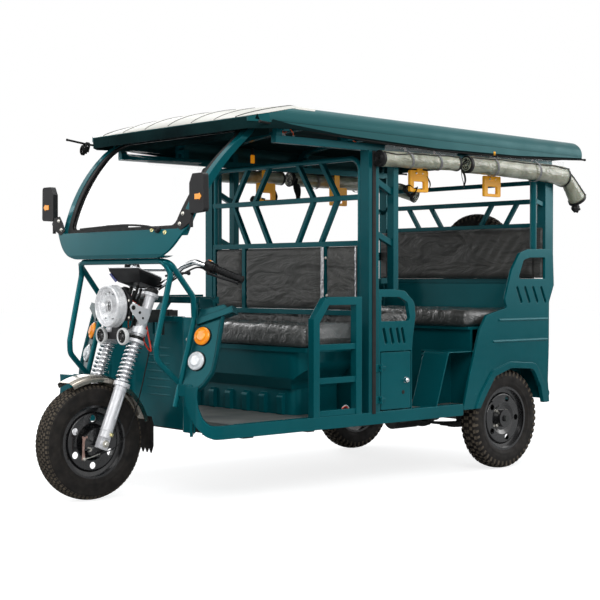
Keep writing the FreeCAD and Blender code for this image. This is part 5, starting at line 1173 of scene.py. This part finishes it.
def make_instrument():
    """Instrument box with a bright edge line and display, and the bracket that carries the lamps."""
    piece = Piece()
    rings = []
    for front, back, half in (((1908, 997), (1790, 955), 117), ((1905, 984), (1787, 942), 116),
            ((1898, 972), (1790, 934), 108), ((1878, 936), (1798, 912), 86)):
        rings.append([P(front[0], -half, front[1]), P(front[0], half, front[1]), P(back[0], half, back[1]),
            P(back[0], -half, back[1])])
    piece.loft(rings, "plastic")
    for side in (1, -1):
        piece.tube(mm([(1909, side * 117, 998), (1789, side * 117, 956), (1786, side * 116, 945)]), 2.4,
            "bezel", 8)
    piece.tube(mm([(1909, -117, 998), (1909, 117, 998)]), 1.8, "bezel", 8)
    slope = Vector((118, 0, 42)).normalized()
    out = Vector((-slope.z, 0, slope.x))
    middle = Vector((1849, 0, 976))
    for wide, deep, lift, key in ((96, 46, 2.6, "plastic"), (80, 34, 4.0, "display")):
        rings = []
        for level, inset in ((-1, 0), (lift, 0), (lift + 1.2, 2)):
            rings.append([P(*(middle + Vector((0, u * (wide - inset), 0)) + slope * v * (deep - inset)
                + out * level)) for u, v in ((-1, -1), (1, -1), (1, 1), (-1, 1))])
        piece.loft(rings, key)
    for k in range(4):
        piece.turn(P(*(middle + slope * -40 + Vector((0, -45 + 30 * k, 0)) + out * 3.2)), out,
            [(5, 0), (5, 2), (0.2, 3)], "white", 14)
    piece.block(P(1848, -30, 996), P(1884, 6, 1014), "plastic", 3)
    piece.block(P(1852, 8, 996), P(1880, 26, 1010), "chrome", 3)
    piece.strap(mm([(1901, -113, 974), (1892, -103, 955), (1882, -92, 938)]), 12, 2, "blue", (1, -0.6, 0))
    for y, z, r in ((-28, 880, 16), (22, 886, 13), (46, 872, 11), (-6, 862, 14)):
        piece.tube(smooth([(1846, y, z + 34), (1858, y + 6, z + 8), (1864, y - 4, z - 20),
            (1852, y + 2, z - 46)], 5), r / 2, "trim", 10)
    piece.plate([(-104, 768), (104, 768), (104, 868), (94, 878), (58, 912), (-58, 912), (-94, 878),
        (-104, 868)], 1932.4, 1946.2, "plastic")
    piece.plate([(-82, 686), (82, 686), (82, 716), (-82, 716)], 1942, 1955.9, "plastic")
    piece.loft([[P(1930 + 8 * s, y, 790 - 88 * s) for y in (-30, 30)] + [P(1944 + 8 * s, y, 790 - 88 * s)
        for y in (30, -30)] for s in (0, 1)], "plastic")
    piece.loft([[P(x, -20, z), P(x, 20, z), P(x, 20, z + 14), P(x, -20, z + 14)]
        for x, z in ((1861, 684), (1950, 692))], "plastic")
    for side in (1, -1):
        for z in (782, 856):
            bolt(piece, P(1946, side * 97, z), (1, 0, 0), 4, "zinc")
    piece.make("instrument_unit", "steering", ("lamp_shroud",), 30, 0.0012)
    cable("lamp_lead_red", "steering", [(1848, -30, 900), (1862, -12, 862), (1864, 12, 850),
        (1862, 38, 842), (1860, 60, 826), (1858, 68, 810)], 2.2, "red_wire")
    cable("lamp_lead_orange", "steering", [(1866, -6, 806), (1886, 10, 804), (1893, 20, 784),
        (1893, 14, 760), (1888, 8, 738), (1886, 6, 718)], 3.0, "wire")
    cable("lead_loop", "steering", [(1858, 104, 744), (1860, 112, 722), (1863, 128, 690), (1868, 154, 634),
        (1864, 130, 640), (1859, 98, 660), (1857, 78, 682), (1858, 90, 706), (1858, 98, 728)], 3.6,
        "red_wire")
    cable("lamp_lead_black", "steering", [(1890, 60, 800), (1896, 66, 776), (1906, 74, 752),
        (1930, 80, 738), (1950, 82, 730)], 3.0, "trim")


# Front of the body

def make_mirror_details():
    piece = Piece()
    for side in (1, -1):
        piece.plate([(562, 1272), (592, 1272), (592, 1268), (606, 1283), (592, 1298), (592, 1294),
            (562, 1294)], 1942.8, 1945.4, "arrow", side)
        piece.plate([(534, 1230), (612, 1234), (608, 1368), (550, 1368), (534, 1336)], 1916.9, 1915.6,
            "mirror", side)
        piece.plate([(428, 1168), (462, 1150), (524, 1178), (538, 1206), (516, 1232), (474, 1238),
            (446, 1204)], 1936, 1941, "plastic", side)
        piece.plate([(520, 1160), (534, 1160), (534, 1204), (520, 1204)], 1930, 1940, "plastic", side)
        for y, z in ((478, 1217), (456, 1176)):
            bolt(piece, P(1941, side * y, z), (1, 0, 0), 6, "zinc", 16)
    piece.make("mirror_details", "body", (), 35, 0.0012)


def make_wiper():
    """Wiper parked along the foot of the screen, with its pivots."""
    piece = Piece()
    for y, z in ((274, 1163), (364, 1151)):
        at, normal = seat("cowl", P(2100, y, z - 8), (-1, 0, 0))
        bolt(piece, at, normal, 6.5, "brass")
    pivot = P(1958, 318, 1157)
    piece.turn(pivot, (1, 0, 0.2), [(15, -12), (15, 0), (11, 5), (0.2, 6)], "plastic", 20)
    arm = mm([(1962, 318, 1160), (1964, 250, 1172), (1966, 120, 1180), (1967, -40, 1180)])
    piece.tube(curve(arm, 5), 4.5, "plastic", 10)
    piece.strap(mm([(1966, 120, 1176), (1968, -60, 1176), (1964, -260, 1170)]), 12, 4, "trim", (0, 0, 1))
    piece.make("wiper", "body", (), 40)


def make_front_bolts():
    piece = Piece()
    for side in (1, -1):
        for z in (430, 520, 600, 690):
            at, normal = seat("front_apron", P(2000, side * 300, z), (-1, 0, 0))
            bolt(piece, at, normal, 4.5, "zinc", 16)
    piece.make("front_bolts", "body")


def make_tail_seam():
    """Strip that closes the joint between the rear grille and the tail panel."""
    piece = Piece()
    piece.block(P(-329, -544, 923.5), P(-304, 544, 929.5), "paint", 1)
    piece.make("tail_seam", "body")


def make_apron_ribs():
    """Seven pressed ribs across the middle of the apron."""
    piece = Piece()
    count, lowest, pitch, half_width, rib_radius, sunk_middle, sunk_end = 7, 432, 35, 100, 6.0, 3.0, 6.0
    for i in range(count):
        places = []
        for y in (-half_width, -half_width / 2, 0, half_width / 2, half_width):
            at, normal = seat("front_apron", P(2000, y, lowest + pitch * i), (-1, 0, 0))
            places.append(at - normal * (sunk_middle if abs(y) < half_width else sunk_end) / 1000)
        piece.tube(curve(places, 4), rib_radius, "paint", 12)
    piece.make("apron_ribs", "body", (), 50)


# Roof

ROOF_HALF = 650
NOSE_X, TAIL_X = 1685, -520


def roof_foot(x):
    """Height of the roof's lower edge at x: the parabola through three points of the side view."""
    points = ((-520, 1578), (500, 1556), (1685, 1608))
    total = 0
    for at, height in points:
        for other, _ in points:
            if other != at:
                height *= (x - other) / (at - other)
        total += height
    return total


def make_roof_edge():
    """Dark binding round the roof's lower edge, deeper across the nose."""
    half = [(x, ROOF_HALF + 1.5) for x in (TAIL_X + 4, 0, 600, 1200, 1500, 1600)]
    half += [(1622, ROOF_HALF - 4), (1680, ROOF_HALF - 62), (1688, ROOF_HALF - 78), (1689, 300)]
    line = half + [(x, -y) for x, y in reversed(half)]
    rings = []
    for i, (x, y) in enumerate(line):
        before, after = Vector(line[max(i - 1, 0)]), Vector(line[min(i + 1, len(line) - 1)])
        along = (after - before).normalized()
        out = Vector((along.y, -along.x))
        if out.dot(Vector((x - 500, y))) < 0:
            out = -out
        nose = min(1, max(0, (x - 1420) / 240))
        low = roof_foot(min(x, NOSE_X)) - 3 - 27 * nose
        top = roof_foot(min(x, NOSE_X)) + 2 + 15 * nose
        inner = (x - out.x * 14, y - out.y * 14)
        rings.append([P(*inner, low), P(x, y, low), P(x + out.x * 1.5, y + out.y * 1.5, (low + top) / 2),
            P(x, y, top), P(x - out.x * 4, y - out.y * 4, top), P(*inner, top - 6)])
    piece = Piece()
    piece.loft(rings, "lining")
    piece.make("roof_binding", "body", (), 50)


def cover_top(x, y):
    """Point on the taut cover that bulges over the front slope, in metres."""
    across = max(0, 1 - (abs(y + 40) / 640) ** 2.4)
    t = (NOSE_X - 2 - x) / 470
    bulge = 36 * across * math.sin(math.pi * min(1, max(0, t)) ** 0.72)
    at, _ = seat("roof", P(x, y, 2000), (0, 0, -1))
    foot = at.z * 1000 if at else 1640
    return P(x, y, min(1721.5, foot + 1.5 + bulge))


def make_roof_cover():
    """Pale cover stretched over the front slope, with its lengthwise seams."""
    def place(t, s):
        v = 2 * s - 1
        return cover_top(1683 - t * (470 - 130 * abs(v) ** 6), (574 + 52 * min(1, t * 5)) * v)

    piece = Piece()
    piece.grid(60, 80, place, "cover")
    cover = piece.make("roof_cover", "body", (), 80)
    seams = Piece()
    for y0, y1, x1, r in ((500, 470, 1240, 3.0), (352, 338, 1440, 2.0), (190, 180, 1420, 2.0),
            (20, 16, 1400, 2.0), (-160, -155, 1420, 2.0), (-335, -325, 1440, 2.0), (-500, -470, 1240, 3.0)):
        line = []
        for k in range(25):
            t = k / 24
            at = cover_top(1680 + (x1 - 1680) * t, y0 + (y1 - y0) * t)
            line.append(at + Vector((0, 0.002 * wobble(at, 6, y0), 0)))
        seams.tube(line, r, "trim", 6)
    seams.make("roof_seams", "body", (), 60)


def make_lining():
    """Dark cloth under the roof, sagging in long folds between the bows."""
    x0, x1, half = -500, 1664, 622

    def place(u, v):
        x, y = x0 + (x1 - x0) * u, -half + 2 * half * v
        at, _ = seat("roof", P(x, y, 1500), (0, 0, 1))
        fade = min(1, (half - abs(y)) / 60) * min(1, (x - x0) / 60, (x1 - x) / 60)
        s = Vector((x / 1000 * 0.35, y / 1000, 0))
        sag = 4 + 5 * wobble(s, 9, 3.3) + 4 * max(0, crease(s, 7, 1.7)) ** 3
        return (at or P(x, y, 1640)) - Vector((0, 0, (3 + max(0, sag) * fade) / 1000))

    piece = Piece()
    piece.grid(110, 56, place, "lining")
    obj = piece.make("roof_lining", "body", (), 80)


def make_valance():
    """Dark cloth that hangs from the roof just ahead of the front bow."""
    def place(u, v):
        y = -556 + 1112 * u
        at, _ = seat("roof", P(1545, y, 1500), (0, 0, 1))
        top = at.z * 1000 - 4 if at else 1630
        fold = 3.5 * wobble((y / 1000, v * 0.3, 5.1), 9, 2.0) * v
        return P(1544 + fold, y, top + (1562 + 4 * wobble((y / 1000, 0, 0), 5, 1.0) - top) * v)

    piece = Piece()
    piece.grid(80, 10, place, "lining")
    obj = piece.make("roof_valance", "body", (), 80)


def make_rods():
    """Curtain rods; the one on the driver's left ends inside the nose of the roof."""
    piece = Piece()
    for side, tip in ((1, 1672), (-1, 1794)):
        line = [P(-555, side * ROD_Y, roof_foot(TAIL_X) - ROD_DROP)]
        for k in range(25):
            x = TAIL_X + (NOSE_X - TAIL_X) * k / 24
            if x < tip:
                line.append(P(x, side * ROD_Y, roof_foot(x) - ROD_DROP))
        rise = max(0, tip - NOSE_X) * 0.125
        line.append(P(tip, side * ROD_Y, roof_foot(min(tip, NOSE_X)) - ROD_DROP + rise))
        piece.tube(line, 5, "belt", 12)
        for end, way in ((line[0], (-1, 0, 0)), (line[-1], (1, 0, 0.12))):
            piece.turn(end, way, [(4.8, -8), (6.2, -7), (6.2, 0), (5, 0.5), (0.2, 0.6)], "trim", 16)
    piece.make("curtain_rods", "body", ("roof_rods",))


def make_front_straps():
    """Crumpled ends of the curtain bindings on the front rods."""
    piece = Piece()
    for k in range(3):
        ring = [(1676 + 14 * k + 3 * math.sin(a * 2 + k), -ROD_Y - 11 * math.cos(a), 1588 - 8 * k
            + 24 * math.sin(a)) for a in circle(16, 1)]
        piece.strap(mm(ring), 13, 1.8, "belt", (1, 0, 0))
    piece.make("rod_straps", "body", (), 60)


# Cabin

def make_post_strips():
    """Rubber strip down the outside of the middle posts."""
    piece = Piece()
    for side in (1, -1):
        y0, y1 = sorted((side * 599, side * 603.5))
        piece.block(P(947, y0, 338), P(969, y1, 1528), "trim", 1.5)
    piece.make("post_strips", "body")


def make_door_fittings():
    piece = Piece()
    piece.turn(P(752, 599, 482), (0, 1, 0), [(13, 0), (13, 2), (8, 3), (8, 8), (11, 11), (11.2, 16),
        (8, 19), (0.2, 19.5)], "chrome", 28)
    piece.turn(P(767, 599.5, 427), (0, 1, 0), [(9, 0), (9, 1.5), (6.5, 2), (0.2, 1)], "trim", 24)
    piece.make("door_knob", "battery_door")


def make_film_edges():
    """Loose wavy film along both sides of the left partition pad."""
    piece = Piece()
    for y0, y1, seed in ((284, 305, 1.0), (513, 521, 2.0)):
        def place(t, u):
            y, z = y0 + (y1 - y0) * u, 808 + 289 * t
            w = wobble((y / 1000, z / 1000, seed), 34, seed)
            lift = 1.6 + 3.2 * abs(wobble((y / 1000 * 2, z / 1000, seed), 55, seed))
            return P(993 + lift, y + 3 * w * (1 if u in (0, 1) else 0.3), z)

        # The film edges get the silvery colour with painted reflections, not the clear film material.
        piece.grid(60, 4, place, "film_sheen")
    piece.make("film_edges", "body", (), 75)


def make_grip_belts():
    piece = Piece()
    for side in (1, -1):
        y = side * 556
        loop = smooth([(652, y - 6, 1372), (694, y - 2, 1388), (716, y, 1366), (698, y + side * 4, 1350),
            (676, y + side * 6, 1334), (652, y + side * 4, 1352), (634, y, 1380)], 5)
        piece.strap(loop, 26, 1.8, "belt", (0.2, side, 0.1))
        tail = smooth([(568, y, 1436), (556, y + side * 3, 1424), (544, y + side * 4, 1404),
            (542, y + side * 2, 1388), (550, y, 1372), (556, y, 1362)], 5)
        piece.strap(tail, 14, 1.8, "belt", (0.6, side, 0.2))
        hang = smooth([(362, side * 604, 1502), (368, side * 603, 1470), (364, side * 602, 1440),
            (352, side * 601, 1412), (348, side * 600, 1388)], 5)
        piece.strap(hang, 24, 1.8, "belt", (0.8, side * 0.6, 0))
        inner = smooth([(360, side * 598, 1470), (344, side * 600, 1452), (340, side * 602, 1424),
            (346, side * 600, 1400)], 5)
        piece.strap(inner, 20, 1.8, "belt", (0.5, side, 0.1))
        piece.block(P(172, min(side * 640, side * 652), 1552), P(188, max(side * 640, side * 652), 1570),
            "orange", 2)
        for x in (620, 90):
            for dz in (-8, 8):
                bolt(piece, P(x + dz * 2.5, side * 562, 1446), (0, side, 0), 4, "zinc")
    piece.make("grip_belts", "body", (), 50)


def make_hanging_film():
    """Clear film between the roof rods and the rolls."""
    for side, word in SIDES:
        for x0, x1, tag in ((446, 930, "front"), (-380, 366, "rear")):
            fall = 40 if tag == "front" else 34

            def place(u, v):
                x = x0 + (x1 - x0) * u
                wave = 6 * wobble((x / 1000, v * 0.2, side), 14, 2.2) + 3 * wobble((x / 1000, v, side), 40,
                    1.2)
                y = side * (646 - 10 * v + wave * math.sin(math.pi * min(1, v + 0.2)))
                return P(x, y, 1553 - fall * v)

            piece = Piece()
            piece.grid(70, 8, place, "film")
            obj = piece.make("film_%s_%s" % (tag, word), "body", (), 80)


def connector(name, at):
    piece = Piece()
    x, y, z = at
    piece.block(P(x - 9, y - 6, z - 24), P(x + 9, y + 6, z), "white", 1.8)
    piece.block(P(x - 6, y - 4, z), P(x + 6, y + 4, z + 5), "white", 1)
    return piece.make(name, "body")


def make_roof_wires():
    """Loose lamp wires with white connectors that hang from the ceiling on the driver's left."""
    one = connector("connector_one", (1373, 452, 1586))
    two = connector("connector_two", (1312, 452, 1578))
    cable("ceiling_wire_one", "body", [(1392, 448, 1690), (1392, 448, 1650), (1404, 450, 1612),
        (1384, 454, 1590), (1352, 452, 1594), (1350, 448, 1616), (1372, 446, 1622), (1384, 450, 1604),
        (1373, 452, 1590)], 3.0, "wire")
    cable("ceiling_wire_two", "body", [(1330, 448, 1690), (1330, 449, 1655), (1340, 452, 1624),
        (1326, 455, 1602), (1314, 454, 1594), (1312, 452, 1582)], 2.6, "wire")
    cable("ceiling_wire_arc", "body", [(1262, 449, 1690), (1262, 450, 1650), (1250, 452, 1624),
        (1216, 453, 1606), (1184, 452, 1612), (1170, 450, 1650), (1170, 449, 1690)], 3.0, "wire")
    cable("ceiling_wire_post", "body", [(992, 449, 1690), (990, 450, 1650), (982, 452, 1618),
        (962, 455, 1592), (934, 470, 1571), (915, 500, 1560), (905, 548, 1556)], 3.0, "wire")
    piece = Piece()
    piece.block(P(688, -574, 1560), P(712, -562, 1606), "arrow", 3)
    piece.block(P(692, -572, 1604), P(708, -564, 1640), "plastic", 2)
    piece.make("cabin_lamp", "body")


def make_floor_wires():
    """Short red and white leads on the floor beside the driver's seat."""
    cable("floor_lead_one", "body", [(1152, 528, 346), (1140, 548, 350), (1124, 560, 366), (1104, 562, 380),
        (1086, 566, 372), (1072, 566, 352), (1060, 562, 346)], 2.4, "red_wire")
    cable("floor_lead_two", "body", [(1142, 530, 346), (1128, 552, 356), (1108, 556, 378), (1090, 560, 386),
        (1068, 560, 362), (1046, 556, 346)], 2.2, "white")


def make_seat_film():
    """Crumpled clear wrapping pulled over the near end of the driver's cushion."""
    piece = Piece()

    def place(u, v):
        x = 1012 + 300 * u
        w = wobble((x / 1000, v * 0.12, 7.3), 26, 1.9)
        c = max(0, crease((x / 1000 * 1.4, v * 0.25, 2.2), 11, 4.4))
        if v < 0.5:
            return P(x, 458 + 164 * v, 750 + 3 * w + 5 * c + 42 * max(0, u - 0.9))
        return P(x + 6 * w * (v - 0.5), 541 + 2.5 * w + 4 * c, 748 + (16 * u - 132) * (v - 0.5))

    piece.grid(40, 14, place, "film")
    obj = piece.make("seat_film", "body", (), 80)


def make_backrest_ends():
    """Cloth turned round the ends of the rear backrest up to the posts."""
    piece = Piece()
    for side in (1, -1):
        y0, y1 = sorted((side * 528, side * 583))
        piece.block(P(-304, y0, 955), P(-270, y1, 1214), "cloth", 6)
    piece.make("backrest_ends", "body")


def make_cabin_bolts():
    piece = Piece()
    for y, z in ((314, 1047), (321, 872), (295, 830)):
        bolt(piece, P(990, y, z), (1, 0, 0), 4.5, "zinc", 16)
    piece.make("cabin_bolts", "body")


for build in (make_tyres, make_wheel_fittings, make_cushions, make_pads, make_curtains, make_roll_ends,
        make_headlamp, make_fog_lamps, make_side_lamps, make_tail_lamps, make_fork_details, make_brake,
        make_handlebar_fittings, make_instrument, make_mirror_details, make_wiper, make_front_bolts,
        make_apron_ribs, make_tail_seam, make_roof_edge, make_roof_cover, make_lining, make_valance,
        make_rods, make_front_straps, make_post_strips, make_door_fittings, make_film_edges,
        make_grip_belts, make_hanging_film, make_roof_wires, make_cabin_bolts, make_floor_wires,
        make_backrest_ends, make_seat_film):
    build()
